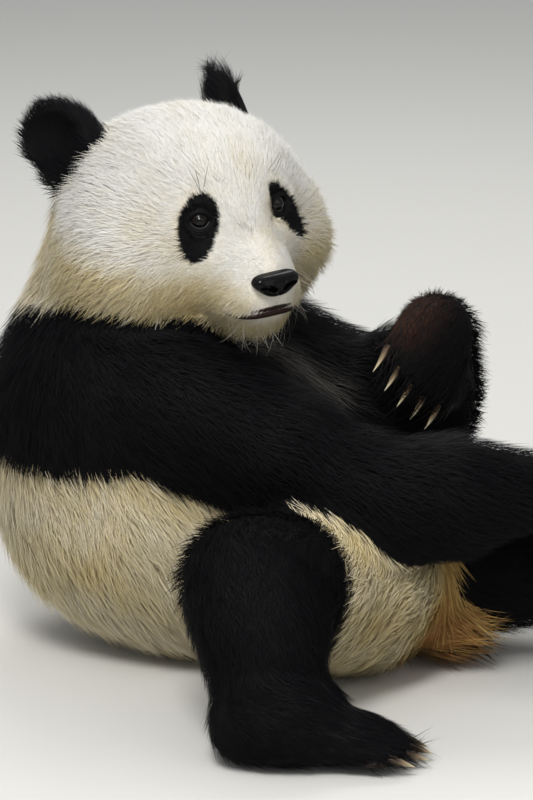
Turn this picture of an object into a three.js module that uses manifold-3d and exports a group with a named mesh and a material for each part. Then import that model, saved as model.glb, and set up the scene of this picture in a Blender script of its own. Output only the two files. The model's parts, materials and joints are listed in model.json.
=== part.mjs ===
// A young giant panda at life size, lounging on its rump: the trunk leans back, the head is up and turned to its
// right, one forearm lies across the belly, the other is raised with its paw hanging, and the hind legs are spread.
// Millimetres, +Z up. The panda faces -Y and its left is +X. The sizes below are measured from the floor under the
// pelvis; at the end the whole body is moved so that the origin is under the middle of its bounding box.
//
// Each part of the body is a sphere whose points are pushed out from a line inside the part until they meet the
// outside of the coat, which is a soft union of a few named masses of muscle, fat and fur. The ruff of the cheeks and
// the tail carry locks of hair over it.

import * as THREE from "three";
import { mergeVertices } from "three/addons/utils/BufferGeometryUtils.js";
import Module from "manifold-3d";

const wasm = await Module();
wasm.setup();

const v = (x, y, z) => new THREE.Vector3(x, y, z);
const along = (from, way, distance) => from.clone().addScaledVector(way, distance);
const gap = 0.3; // between parts that touch
const sides = { right: -1, left: 1 };

// ---------------------------------------------------------------- sizes

const trunk = {
  rump: { at: v(0, 62, 112), radii: v(165, 150, 116) },
  belly: { at: v(0, 190, 150), radii: v(205, 190, 165) },
  back: { at: v(0, 300, 192), radii: v(214, 200, 198) },
  chest: { at: v(0, 335, 275), radii: v(178, 165, 138) },
  breast: { at: v(0, 215, 290), radii: v(125, 105, 92) },
  shoulder: { at: v(118, 300, 325), radii: v(84, 120, 104) }, // the left one
  soft: 60, // how widely the masses run together
  band: { at: v(0, 330, 238), up: v(0, 0.09, 1) }, // the lower edge of the black band of the shoulders
  rumpFrom: 95, // the rump lies in front of this
};

const neck = {
  from: v(4, 360, 335),
  to: v(30, 334, 470),
  radii: [128, 112],
  soft: 80,
  zone: { at: v(15, 385, 540), radii: v(190, 175, 170) }, // the white neck is the part of the body inside this egg
};

// In the head's own axes: +X its left, -Y forward, +Z up.
const skull = { at: v(-12, 252, 542), left: v(0.781, -0.62, 0.075), back: v(0.609, 0.785, 0.12) };
const face = {
  cranium: { at: v(0, 16, 6), radii: v(134, 118, 98) },
  brow: { at: v(0, -44, 22), radii: v(90, 72, 64) },
  cheek: { at: v(88, -14, -52), radii: v(77, 90, 79) },
  jowl: { at: v(0, -16, -90), radii: v(122, 92, 55) },
  soft: 38,
  muzzle: { from: v(0, -56, -38), to: v(0, -129, -60), radii: [87, 53] },
  lip: { at: v(20, -146, -76), radii: v(32, 34, 24) },
  chin: { at: v(0, -128, -103), radii: v(42, 44, 22) },
  muzzleSoft: 14,
  socket: { at: v(54, -124, 12), radii: v(24, 18, 26) },
  nape: { at: v(0, 102, 45), down: v(0, 0.93, -0.36) }, // where the neck takes over
};
// The dark fur round each eye, as seen on the left side. Its lower end leans out by the slant, in degrees.
const patch = {
  right: { at: v(58, -111, 8), radii: v(24, 29, 43), slant: 13 },
  left: { at: v(64, -94, 1), radii: v(20, 50, 47), slant: 30 },
};
const eye = { at: v(50, -97, 12), radius: 12, lid: 3.6, gaze: v(0.42, -0.9, 0), width: 22, height: 15 };
const nose = { at: v(0, -178, -51), radii: v(30, 16, 19), nostril: { at: v(10, -192, -52), radii: v(5.5, 9, 3.6) } };
const mouth = { at: v(0, -104, -83), corner: 66, half: 60, height: 4.6, out: 1.2, deep: 9, dip: 5, points: 18 };
const ear = { at: v(97, 66, 16), up: v(0.32, 0.62, 0.7), front: v(0.8, -0.5, 0.15), radii: v(62, 33, 64), rise: 50 };

const arm = {
  radii: { shoulder: 84, upper: 78, elbow: 70, forearm: 72, wrist: 47 },
  soft: 40,
  flare: 32, // how far the root spreads on to the trunk
  right: { shoulder: v(-132, 214, 318), elbow: v(-113, -8, 222), wrist: v(-49, -188, 240), tip: v(-8, -330, 214) },
  left: { shoulder: v(132, 214, 318), elbow: v(142, 40, 238), wrist: v(84, -20, 386), tip: v(-16, -24, 338) },
};
const hand = {
  palm: { right: v(0.25, -0.1, -1), left: v(0.5, 0.8, -0.3) }, // the way the palms face
  width: 112,
  thick: 62,
  digit: 17,
  claw: { length: 34, radius: 4.6, curl: 9 },
};

const leg = {
  radii: { hip: 98, thigh: 88, knee: 76, shin: 70, ankle: 56 },
  soft: 40,
  flare: 24,
  right: { hip: v(-92, 24, 104), knee: v(-306, 74, 176), ankle: v(-405, 2, 62), black: 0.66 },
  left: { hip: v(92, 24, 104), knee: v(62, -238, 138), ankle: v(104, -420, 60), black: 0.42 },
};
const foot = {
  right: { heel: v(-412, 44, 39), tip: v(-340, -150, 30), sole: v(0, 0, -1) },
  left: { heel: v(106, -436, 41), tip: v(132, -500, 212), sole: v(0.1, -1, -0.36) },
  width: 112,
  thick: 74,
  heelRadius: 42,
  flare: 50,
  digit: 18,
  claw: { length: 26, radius: 4.4, curl: 6 },
};

const tail = { at: v(-6, -46, 48), radii: v(54, 74, 48) };

// Locks of hair. Each has its root sunk in the surface that it grows from, and bends over to its lie.
const hair = {
  ruff: { rows: [-38, 2, 40], from: 24, to: { right: -50, left: -26 }, perRow: 5, length: 80, width: 21, thick: 5, stand: 7 },
  tail: { rings: [-0.3, 0.3], perRing: 4, length: 60, width: 24, thick: 7, stand: 9 },
  sunk: 7, // how deep the roots are
  vary: 0.15, // how far one lock differs from the next in length and turn
  seed: 5,
};

// ---------------------------------------------------------------- masses of the body

// A mass is a function of a point: its distance outside the surface, negative inside.
function egg({ at, radii, turn = new THREE.Quaternion() }) {
  const back = turn.clone().invert();
  return (p) => {
    const q = p.clone().sub(at).applyQuaternion(back).divide(radii);
    const reach = q.length();
    const slope = q.divide(radii).length();
    return slope > 0 ? (reach * (reach - 1)) / slope : -Math.min(...radii);
  };
}

// A round bar from one point to another with a radius at each end.
function bar(from, fromRadius, to, toRadius) {
  const line = to.clone().sub(from);
  return (p) => {
    const q = p.clone().sub(from);
    const part = THREE.MathUtils.clamp(q.dot(line) / line.lengthSq(), 0, 1);
    return q.addScaledVector(line, -part).length() - THREE.MathUtils.lerp(fromRadius, toRadius, part);
  };
}

// Masses that run into each other over a soft width.
function joined(soft, ...masses) {
  const join = (a, b) => Math.min(a, b) - Math.max(soft - Math.abs(a - b), 0) ** 2 / soft / 4;
  return (p) => masses.map((mass) => mass(p)).reduce(join);
}

const dented = (soft, mass, ...presses) => {
  const rest = joined(soft, (p) => -mass(p), ...presses);
  return (p) => -rest(p);
};
const flared = (mass, neighbours, by) => (p) => Math.max(neighbours(p), mass(p) - by);

// A limb that spreads on to the body at its root, and no more at its first joint.
function rooted(mass, body, root, joint, { soft, flare }) {
  const line = joint.clone().sub(root);
  const all = joined(soft, mass, body);
  return (p) => {
    const part = THREE.MathUtils.clamp(p.clone().sub(root).dot(line) / line.lengthSq(), 0, 1);
    return Math.max(all(p), mass(p) - flare * (1 - part));
  };
}
const bothSides = (mass) => [mass, (p) => mass(v(-p.x, p.y, p.z))];
const onSide = (point, side) => point.clone().multiply(v(side, 1, 1));
const turned = (x, y, z) => new THREE.Quaternion().setFromRotationMatrix(new THREE.Matrix4().makeBasis(x, y, z));

// ---------------------------------------------------------------- solids

function solidFrom(geometry) {
  const bare = geometry.clone();
  bare.deleteAttribute("normal");
  bare.deleteAttribute("uv");
  const merged = mergeVertices(bare, 1e-3);
  const vertProperties = new Float32Array(merged.attributes.position.array);
  return new wasm.Manifold(
    new wasm.Mesh({ numProp: 3, vertProperties, triVerts: new Uint32Array(merged.index.array) }),
  );
}

function geometryFrom(solid) {
  const { vertProperties, triVerts } = solid.getMesh();
  const geometry = new THREE.BufferGeometry();
  geometry.setAttribute("position", new THREE.BufferAttribute(vertProperties, 3));
  geometry.setIndex(new THREE.BufferAttribute(triVerts, 1));
  geometry.computeVertexNormals();
  return geometry;
}

const largest = (solid) => solid.decompose().reduce((most, piece) => (piece.volume() > most.volume() ? piece : most));

// The solid with each of its faces moved out by at least the gap, so that what it cuts keeps clear of it.
function grown(solid) {
  const { vertProperties: points, triVerts: corners } = solid.getMesh();
  const facings = Array.from({ length: points.length / 3 }, () => []);
  for (let i = 0; i < corners.length; i += 3) {
    const face = [...corners.slice(i, i + 3)];
    const [a, b, c] = face.map((corner) => v().fromArray(points, 3 * corner));
    const facing = b.sub(a).cross(c.sub(a));
    if (facing.length() > 1e-3) face.forEach((corner) => facings[corner].push(facing.clone().normalize()));
  }
  facings.forEach((around, i) => {
    const out = v(0, 0, 0);
    for (let round = 0; round < 40; round++) {
      for (const facing of around) out.addScaledVector(facing, Math.max(0, gap - facing.dot(out)));
    }
    v().fromArray(points, 3 * i).add(out.clampLength(0, 5 * gap)).toArray(points, 3 * i);
  });
  return new wasm.Manifold(new wasm.Mesh({ numProp: 3, vertProperties: points, triVerts: corners }));
}

// How far out the surface of a mass is from a point inside it, up to the reach.
function distanceOut(mass, from, way, reach) {
  const step = reach / 50;
  const value = (distance) => mass(along(from, way, distance));
  let outside = step;
  while (outside < reach && value(outside) < 0) outside += step;
  let inside = outside - step;
  for (let halving = 0; halving < 12; halving++) {
    const middle = (inside + outside) / 2;
    if (value(middle) < 0) inside = middle;
    else outside = middle;
  }
  return inside;
}

// A sphere pushed out from the line between two points on to the surface of a mass.
function wrapped(mass, from, to, [around, rings], reach) {
  const geometry = new THREE.SphereGeometry(1, around, rings);
  const line = to.clone().sub(from);
  const turn = new THREE.Quaternion().setFromUnitVectors(v(0, 1, 0), line.clone().normalize());
  const { position } = geometry.attributes;
  for (let i = 0; i < position.count; i++) {
    const way = v().fromBufferAttribute(position, i);
    const start = along(from, line, (1 + way.y) / 2);
    way.applyQuaternion(turn).normalize();
    position.setXYZ(i, ...along(start, way, distanceOut(mass, start, way, reach)));
  }
  return solidFrom(geometry);
}

// All that lies past a plane, in the direction of its normal.
function past(point, normal, by = -gap / 2) {
  const size = 1600;
  const block = new THREE.BoxGeometry(size, size, size).translate(0, size / 2 + by, 0);
  block.applyQuaternion(new THREE.Quaternion().setFromUnitVectors(v(0, 1, 0), normal.clone().normalize()));
  return solidFrom(block.translate(...point));
}
const before = (solid, point, normal) => solid.subtract(past(point, normal));
const after = (solid, point, normal) => solid.subtract(past(point, normal.clone().negate()));

// ---------------------------------------------------------------- locks of hair

// Draws that are the same each time, from -1 to 1.
function drawsFrom(seed) {
  let state = seed;
  return () => {
    state = (state * 16807) % 2147483647;
    return (state / 2147483647) * 2 - 1;
  };
}

// A flat, tapered lock with its root sunk in the surface: it rises a little off it and lies along it to its tip.
function lock(root, out, lie, { length, width, thick, stand }, draw) {
  const flat = along(lie, out, -lie.dot(out)).normalize();
  const across = out.clone().cross(flat).normalize();
  flat.addScaledVector(across, hair.vary * 2 * draw()).normalize();
  const long = length * (1 + hair.vary * draw());
  const foot = along(along(root, out, -hair.sunk), flat, -long * 0.1);
  const rise = along(along(root, out, stand), flat, long * 0.4);
  const tip = along(along(root, out, stand * 0.5), flat, long * 0.9);
  const curve = new THREE.QuadraticBezierCurve3(foot, rise, tip);
  const geometry = new THREE.ConeGeometry(1, 1, 4, 3).translate(0, 0.5, 0);
  const { position } = geometry.attributes;
  for (let i = 0; i < position.count; i++) {
    const reach = position.getY(i);
    const fuller = reach < 1 ? (1 - reach) ** -0.4 : 0;
    const face = across.clone().cross(curve.getTangent(reach));
    const point = along(curve.getPoint(reach), across, position.getX(i) * fuller * width);
    position.setXYZ(i, ...along(point, face, position.getZ(i) * fuller * thick));
  }
  return solidFrom(geometry);
}

// The way out of a mass at a point on its surface.
function outOf(mass, point) {
  const step = 0.5;
  const slope = (way) => mass(along(point, way, step)) - mass(along(point, way, -step));
  return v(slope(v(1, 0, 0)), slope(v(0, 1, 0)), slope(v(0, 0, 1))).normalize();
}

// A lock whose root is where a line out of the mass meets its surface.
function lockOn(mass, from, way, lie, size, draw) {
  const root = along(from, way, distanceOut(mass, from, way, 260));
  return lock(root, outOf(mass, root), lie, size, draw);
}

const fused = (solid, locks) => largest(locks.reduce((whole, one) => whole.add(one), solid));

// ---------------------------------------------------------------- trunk and neck

const neckMass = bar(neck.from, neck.radii[0], neck.to, neck.radii[1]);
const torsoMass = joined(
  trunk.soft,
  egg(trunk.rump),
  egg(trunk.belly),
  egg(trunk.back),
  egg(trunk.chest),
  egg(trunk.breast),
  ...bothSides(egg(trunk.shoulder)),
  neckMass,
);
const torso = wrapped(torsoMass, v(0, 120, 110), v(0, 330, 260), [32, 24], 330);
const neckZone = wrapped(egg(neck.zone), neck.zone.at, along(neck.zone.at, v(0, 1, 0), 1), [18, 12], 400);

function chest() {
  return after(torso, trunk.band.at, trunk.band.up).subtract(grown(neckZone));
}

function belly() {
  return after(before(torso, trunk.band.at, trunk.band.up), v(0, trunk.rumpFrom, 0), v(0, 1, 0));
}

function rump() {
  return before(before(torso, trunk.band.at, trunk.band.up), v(0, trunk.rumpFrom, 0), v(0, 1, 0));
}

function neckPart() {
  const flesh = flared(torsoMass, joined(neck.soft, torsoMass, headOnBody), 60);
  const whole = wrapped(flesh, neck.from, neck.to, [24, 14], 220).intersect(neckZone);
  const { at, down } = face.nape;
  return after(whole, at.clone().applyMatrix4(headPlace), down.clone().transformDirection(headPlace));
}

// ---------------------------------------------------------------- head

const headPlace = new THREE.Matrix4();
{
  const y = skull.back.clone().normalize();
  const x = along(skull.left, y, -skull.left.dot(y)).normalize();
  headPlace.makeBasis(x, y, x.clone().cross(y)).setPosition(skull.at);
}
const toHead = headPlace.clone().invert();
const placed = (solid) => solid.transform(headPlace.elements);

const headMass = dented(
  16,
  joined(
    face.soft,
    egg(face.cranium),
    egg(face.brow),
    ...bothSides(egg(face.cheek)),
    egg(face.jowl),
    joined(
      face.muzzleSoft,
      bar(face.muzzle.from, face.muzzle.radii[0], face.muzzle.to, face.muzzle.radii[1]),
      ...bothSides(egg(face.lip)),
      egg(face.chin),
    ),
  ),
  ...bothSides(egg(face.socket)),
);
const headOnBody = (p) => headMass(p.clone().applyMatrix4(toHead));
const neckOnHead = (p) => neckMass(p.clone().applyMatrix4(headPlace));

function ball(at, radius) {
  return solidFrom(new THREE.SphereGeometry(radius, 10, 7).rotateX(Math.PI / 2).translate(...at));
}

function headShape() {
  const flesh = flared(headMass, joined(neck.soft, headMass, neckOnHead), 36);
  return wrapped(flesh, v(0, 20, -10), v(0, -92, -48), [32, 24], 190);
}

function head() {
  let solid = headShape();
  for (const side of Object.keys(sides)) solid = solid.subtract(grown(patchZone(side))).subtract(socketOf(side));
  solid = fused(solid.subtract(grown(mouthLine())), ruff());
  return placed(before(solid, face.nape.at, face.nape.down));
}

const socketOf = (side) => ball(onSide(eye.at, sides[side]), eye.radius + eye.lid + gap);

// The slanted egg that marks off the dark patch round an eye.
function patchZone(side) {
  const { radii, slant } = patch[side];
  const turn = new THREE.Quaternion().setFromAxisAngle(v(0, 1, 0), THREE.MathUtils.degToRad(-sides[side] * slant));
  const at = onSide(patch[side].at, sides[side]);
  const up = v(0, 0, 12).applyQuaternion(turn);
  return wrapped(egg({ at, radii, turn }), at.clone().sub(up), at.clone().add(up), [10, 7], 90);
}

function eyePatch(side) {
  return placed(headShape().intersect(patchZone(side)).subtract(socketOf(side)));
}

// Rows of locks down each cheek, one row behind the other.
function ruff() {
  const { rows, from, to, perRow } = hair.ruff;
  const draw = drawsFrom(hair.seed);
  const locks = [];
  for (const [name, side] of Object.entries(sides)) {
    rows.forEach((row, k) => {
      for (let i = 0; i < perRow; i++) {
        const turn = THREE.MathUtils.degToRad(THREE.MathUtils.lerp(from, to[name], (i + (k % 2) / 2) / perRow));
        const way = v(side * Math.cos(turn), 0, Math.sin(turn));
        const lie = v(side * 0.3, 0.35, -0.8);
        locks.push(lockOn(headMass, v(side * 30, row, -46), way, lie, hair.ruff, draw));
      }
    });
  }
  return locks;
}

// A thin curved band round the front of the muzzle, between its upper and lower lips.
function mouthLine() {
  const outer = [];
  const inner = [];
  const corner = THREE.MathUtils.degToRad(mouth.corner);
  for (let i = 0; i <= mouth.points; i++) {
    const turn = THREE.MathUtils.lerp(-corner, corner, i / mouth.points);
    const way = v(Math.sin(turn), -Math.cos(turn), 0);
    const surface = distanceOut(headMass, mouth.at, way, 120);
    outer.push(new THREE.Vector2(way.x, way.y).multiplyScalar(surface + mouth.out));
    inner.unshift(new THREE.Vector2(way.x, way.y).multiplyScalar(surface - mouth.deep));
  }
  const shape = new THREE.Shape([...outer, ...inner]);
  const band = new THREE.ExtrudeGeometry(shape, { depth: mouth.height, bevelEnabled: false });
  const { position } = band.attributes;
  for (let i = 0; i < position.count; i++) {
    const sag = mouth.dip * Math.cos((position.getX(i) / mouth.half) * Math.PI);
    position.setZ(i, position.getZ(i) - mouth.height / 2 - sag);
  }
  return solidFrom(band.translate(...mouth.at));
}

function lid(side) {
  const { radius, lid: thick, gaze, width, height } = eye;
  const at = onSide(eye.at, side);
  const shell = ball(at, radius + thick).subtract(ball(at, radius + gap));
  const almond = new THREE.Shape();
  almond.moveTo(-width / 2, 0);
  almond.quadraticCurveTo(0, -height, width / 2, 0);
  almond.quadraticCurveTo(0, height, -width / 2, 0);
  const opening = new THREE.ExtrudeGeometry(almond, { depth: 3 * radius, bevelEnabled: false, curveSegments: 5 });
  const out = onSide(gaze, side).normalize();
  const across = v(0, 0, 1).cross(out).normalize();
  opening.applyQuaternion(turned(across, out.clone().cross(across), out));
  return placed(shell.subtract(solidFrom(opening.translate(...at))));
}

function eyeball(side) {
  return placed(ball(onSide(eye.at, side), eye.radius));
}

function nosePad() {
  const pad = wrapped(egg(nose), along(nose.at, v(1, 0, 0), -8), along(nose.at, v(1, 0, 0), 8), [12, 9], 60);
  const holes = Object.values(sides).map((side) => {
    const { at, radii } = nose.nostril;
    const hole = new THREE.SphereGeometry(1, 8, 6).scale(...radii).rotateY(side * 0.5);
    return solidFrom(hole.translate(...onSide(at, side)));
  });
  return placed(holes.reduce((solid, hole) => solid.subtract(hole), pad));
}

function earCup(side) {
  const up = onSide(ear.up, side).normalize();
  const across = up.clone().cross(onSide(ear.front, side)).normalize();
  const front = across.clone().cross(up);
  const turn = turned(across, front, across.clone().cross(front));
  const middle = along(onSide(ear.at, side), up, ear.rise);
  const shell = egg({ at: middle, radii: ear.radii, turn });
  const hollowAt = along(along(middle, front, ear.radii.y * 1.1), up, 13);
  const hollow = egg({ at: hollowAt, radii: ear.radii.clone().multiply(v(0.7, 0.95, 0.62)), turn });
  const outer = wrapped(shell, along(middle, up, -24), along(middle, up, 24), [14, 10], 90);
  return placed(outer.subtract(wrapped(hollow, along(hollowAt, up, -16), along(hollowAt, up, 16), [12, 8], 90)));
}

// ---------------------------------------------------------------- limbs

// The flesh of a bent limb: bars through its joints, with radii at its root, middle, bend, lower middle and end.
function limb(root, bend, end, [rootRadius, upper, bendRadius, lower, endRadius], soft) {
  const upperAt = root.clone().lerp(bend, 0.5);
  const lowerAt = bend.clone().lerp(end, 0.4);
  return joined(
    soft,
    bar(root, rootRadius, upperAt, upper),
    bar(upperAt, upper, bend, bendRadius),
    bar(bend, bendRadius, lowerAt, lower),
    bar(lowerAt, lower, end, endRadius),
  );
}

// A plane through a joint that halves the bend of the limb there.
function bendAt(before, joint, next) {
  const way = joint.clone().sub(before).normalize();
  return way.add(next.clone().sub(joint).normalize()).normalize();
}

// A paw: a pad with five toes, from its heel to the tips. Also the frame that its claws follow.
function paw(heel, tip, facing, { width, thick, digit }) {
  const way = tip.clone().sub(heel);
  const length = way.length();
  way.normalize();
  const down = along(facing, way, -facing.dot(way)).normalize();
  const across = way.clone().cross(down);
  const turn = turned(across, way, across.clone().cross(way));
  const toes = [];
  for (let toe = -2; toe <= 2; toe++) {
    const root = along(along(heel, way, length * 0.55), across, toe * width * 0.19);
    const end = along(along(heel, way, length * (0.86 - 0.025 * toe * toe)), across, toe * width * 0.21);
    toes.push({ root: along(root, down, thick * 0.06), end: along(end, down, thick * 0.16) });
  }
  const pad = egg({ at: along(heel, way, length * 0.42), radii: v(width / 2, length * 0.44, thick / 2), turn });
  const mass = joined(12, pad, ...toes.map(({ root, end }) => bar(root, digit + 2, end, digit)));
  return { mass, way, down, across, length, toes };
}

function armMass(side) {
  const { shoulder, elbow, wrist } = arm[side];
  return limb(shoulder, elbow, wrist, Object.values(arm.radii), arm.soft);
}

function upperArm(side) {
  const { shoulder, elbow, wrist } = arm[side];
  const flesh = rooted(armMass(side), torsoMass, shoulder, elbow, arm);
  const solid = wrapped(flesh, shoulder, elbow, [18, 12], 150);
  return before(solid, elbow, bendAt(shoulder, elbow, wrist));
}

function forearm(side) {
  const { shoulder, elbow, wrist, tip } = arm[side];
  const solid = wrapped(flared(armMass(side), lowerArm(side), arm.flare), elbow, wrist, [16, 10], 110);
  return after(before(solid, wrist, bendAt(elbow, wrist, tip)), elbow, bendAt(shoulder, elbow, wrist));
}

const handPaw = (side) => paw(arm[side].wrist, arm[side].tip, hand.palm[side], hand);
const lowerArm = (side) => joined(arm.soft, handPaw(side).mass, armMass(side));

function handPart(side) {
  const { elbow, wrist, tip } = arm[side];
  const { mass, way, length } = handPaw(side);
  const flesh = flared(mass, lowerArm(side), 34);
  const solid = wrapped(flesh, along(wrist, way, 8), along(wrist, way, length * 0.66), [19, 12], 110);
  return after(solid, wrist, bendAt(elbow, wrist, tip));
}

function legMass(side) {
  const { hip, knee, ankle } = leg[side];
  return limb(hip, knee, ankle, Object.values(leg.radii), leg.soft);
}

function wholeThigh(side) {
  const { hip, knee } = leg[side];
  return wrapped(rooted(legMass(side), torsoMass, hip, knee, leg), hip, knee, [18, 12], 150);
}

// The pale root of the thigh.
function hipPart(side) {
  const { hip, knee, black } = leg[side];
  return before(wholeThigh(side), hip.clone().lerp(knee, black), knee.clone().sub(hip));
}

function thigh(side) {
  const { hip, knee, ankle, black } = leg[side];
  const dark = after(wholeThigh(side), hip.clone().lerp(knee, black), knee.clone().sub(hip));
  return before(dark, knee, bendAt(hip, knee, ankle));
}

const ankleCut = (side) => leg[side].knee.clone().lerp(leg[side].ankle, 0.8);

function shin(side) {
  const { hip, knee, ankle } = leg[side];
  const solid = wrapped(flared(legMass(side), lowerLeg(side), foot.flare), knee, ankle, [18, 10], 120);
  return before(after(solid, knee, bendAt(hip, knee, ankle)), ankleCut(side), ankle.clone().sub(knee));
}

const footPaw = (side) => paw(foot[side].heel, foot[side].tip, foot[side].sole, foot);
const footMass = (side) => joined(20, footPaw(side).mass, (p) => p.distanceTo(foot[side].heel) - foot.heelRadius);
const lowerLeg = (side) => joined(leg.soft, footMass(side), legMass(side));

function footPart(side) {
  const { heel } = foot[side];
  const { way, length } = footPaw(side);
  const flesh = flared(footMass(side), lowerLeg(side), foot.flare);
  const solid = wrapped(flesh, along(heel, way, 12), along(heel, way, length * 0.7), [20, 13], 120);
  return after(solid, ankleCut(side), leg[side].ankle.clone().sub(leg[side].knee));
}

// A curved claw that grows from the end of a toe.
function claw({ way, down, across, toes }, toe, { length, radius, curl }) {
  const geometry = new THREE.ConeGeometry(radius, length, 5, 2).translate(0, length / 2, 0);
  const { position } = geometry.attributes;
  for (let i = 0; i < position.count; i++) {
    const reach = position.getY(i) / length;
    position.setX(i, position.getX(i) * 0.7);
    position.setZ(i, position.getZ(i) + curl * reach * reach);
  }
  geometry.applyQuaternion(turned(across, way, down));
  const { root, end } = toes[toe];
  const outwards = end.clone().sub(root).normalize();
  return solidFrom(geometry.translate(...along(end, outwards, 8)));
}

// ---------------------------------------------------------------- tail

function tailPart() {
  const { rings, perRing } = hair.tail;
  const solid = wrapped(egg(tail), along(tail.at, v(0, 1, 0), -30), along(tail.at, v(0, 1, 0), 30), [14, 8], 120);
  const draw = drawsFrom(hair.seed + 9);
  const locks = rings.flatMap((ring) =>
    Array.from({ length: perRing }, (_, i) => {
      const turn = THREE.MathUtils.degToRad(THREE.MathUtils.lerp(-80, 80, i / (perRing - 1)));
      const from = along(tail.at, v(0, 1, 0), ring * tail.radii.y);
      return lockOn(egg(tail), from, v(Math.sin(turn), -0.2, Math.cos(turn)), v(0, -1, -0.3), hair.tail, draw);
    }),
  );
  return fused(solid, locks);
}

// ---------------------------------------------------------------- the whole body

const panda = new THREE.Group();
const finish = (color, roughness) => new THREE.MeshStandardMaterial({ color, roughness, metalness: 0 });
const coatWhite = finish("#e4dccb", 0.95);
const coatTan = finish("#c9b58f", 0.95);
const coatBlack = finish("#17161a", 0.9);
const coatBrown = finish("#a5713f", 0.95);
const skinBlack = finish("#1c1a1c", 0.45);
const eyeDark = finish("#16100d", 0.1);
const clawHorn = finish("#b8a88a", 0.4);

const solids = {};
const floor = past(v(0, 0, 0), v(0, 0, -1), 0);

// Adds a part to the body, cut off at the floor and clear of the parts that are there already.
function add(name, solid, material) {
  let clear = solid.subtract(floor);
  for (const other of Object.values(solids)) {
    if (clear.intersect(other).volume() > 0) clear = clear.subtract(grown(other));
  }
  solids[name] = largest(clear);
  const mesh = new THREE.Mesh(geometryFrom(solids[name]), material);
  mesh.name = name;
  panda.add(mesh);
}

add("head", head(), coatWhite);
add("lips", placed(mouthLine()), skinBlack);
add("nose", nosePad(), skinBlack);
for (const [name, side] of Object.entries(sides)) {
  add(`eye_patch_${name}`, eyePatch(name), coatBlack);
  add(`eye_${name}`, eyeball(side), eyeDark);
  add(`lid_${name}`, lid(side), skinBlack);
  add(`ear_${name}`, earCup(side), coatBlack);
}

add("chest", chest(), coatBlack);
add("belly", belly(), coatWhite);
add("rump", rump(), coatTan);
add("neck", neckPart(), coatWhite);

for (const name of Object.keys(sides)) {
  add(`hip_${name}`, hipPart(name), coatTan);
  add(`thigh_${name}`, thigh(name), coatBlack);
  add(`shin_${name}`, shin(name), coatBlack);
  add(`foot_${name}`, footPart(name), coatBlack);
}
for (const name of Object.keys(sides)) {
  add(`upper_arm_${name}`, upperArm(name), coatBlack);
  add(`forearm_${name}`, forearm(name), coatBlack);
  add(`hand_${name}`, handPart(name), coatBlack);
}
add("tail", tailPart(), coatBrown);
for (const name of Object.keys(sides)) {
  for (let toe = 0; toe < 5; toe++) {
    add(`hand_claw_${name}_${toe + 1}`, claw(handPaw(name), toe, hand.claw), clawHorn);
    add(`foot_claw_${name}_${toe + 1}`, claw(footPaw(name), toe, foot.claw), clawHorn);
  }
}

const box = new THREE.Box3().setFromObject(panda);
const middle = box.getCenter(v());
panda.position.set(-middle.x, -middle.y, -box.min.z);

const body = new THREE.Group();
body.add(panda);
export default body;
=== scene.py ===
# A young giant panda at life size, lounging on its rump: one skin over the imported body, a coat of tufts that follow
# its lie, and the eyes, lids, nose, lips, whiskers and claws as pieces of their own. Metres, +Z up.
import bpy
import json
import math
import time
import numpy as np
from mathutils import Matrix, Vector
from mathutils.bvhtree import BVHTree
from mathutils.kdtree import KDTree

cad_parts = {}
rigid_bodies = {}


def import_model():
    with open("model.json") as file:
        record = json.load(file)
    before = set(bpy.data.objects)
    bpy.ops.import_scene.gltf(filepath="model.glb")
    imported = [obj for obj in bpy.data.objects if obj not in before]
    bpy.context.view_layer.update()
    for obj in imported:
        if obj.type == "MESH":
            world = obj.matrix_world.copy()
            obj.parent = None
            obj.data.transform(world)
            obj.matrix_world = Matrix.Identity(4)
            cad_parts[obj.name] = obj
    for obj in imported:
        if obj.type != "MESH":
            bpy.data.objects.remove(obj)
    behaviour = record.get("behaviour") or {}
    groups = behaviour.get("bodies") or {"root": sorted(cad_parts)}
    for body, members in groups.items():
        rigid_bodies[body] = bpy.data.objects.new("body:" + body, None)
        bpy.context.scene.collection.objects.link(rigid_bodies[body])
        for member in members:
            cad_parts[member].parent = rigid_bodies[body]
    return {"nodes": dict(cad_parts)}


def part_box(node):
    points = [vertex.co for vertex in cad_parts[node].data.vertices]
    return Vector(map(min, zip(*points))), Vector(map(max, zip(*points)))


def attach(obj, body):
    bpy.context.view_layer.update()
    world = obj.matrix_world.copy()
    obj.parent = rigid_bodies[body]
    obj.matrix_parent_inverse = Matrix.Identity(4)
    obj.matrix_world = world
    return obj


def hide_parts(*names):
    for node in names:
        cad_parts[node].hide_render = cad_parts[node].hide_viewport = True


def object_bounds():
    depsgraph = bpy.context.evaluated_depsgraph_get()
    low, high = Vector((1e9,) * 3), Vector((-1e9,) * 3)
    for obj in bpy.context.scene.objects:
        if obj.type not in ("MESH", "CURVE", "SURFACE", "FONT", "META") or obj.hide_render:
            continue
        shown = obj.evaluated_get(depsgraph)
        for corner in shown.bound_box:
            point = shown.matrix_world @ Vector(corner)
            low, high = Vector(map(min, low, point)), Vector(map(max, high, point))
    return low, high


startTime = time.time()
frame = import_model()
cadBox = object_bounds()
nodes = frame["nodes"]
scene = bpy.context.scene


def report(text):
    print(f"[{time.time() - startTime:5.1f} s] {text}")


def centre(node):
    low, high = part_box(node)
    return np.array((low + high) / 2)


def unit(vectors):
    vectors = np.asarray(vectors, float)
    return vectors / np.maximum(np.linalg.norm(vectors, axis=-1, keepdims=True), 1e-9)


def smoothStep(low, high, values):
    part = np.clip((np.asarray(values, float) - low) / (high - low), 0, 1)
    return part * part * (3 - 2 * part)


def deselectAll():
    bpy.ops.object.select_all(action="DESELECT")


def makeActive(piece):
    deselectAll()
    piece.select_set(True)
    bpy.context.view_layer.objects.active = piece


# Camera, light and floor.

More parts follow.
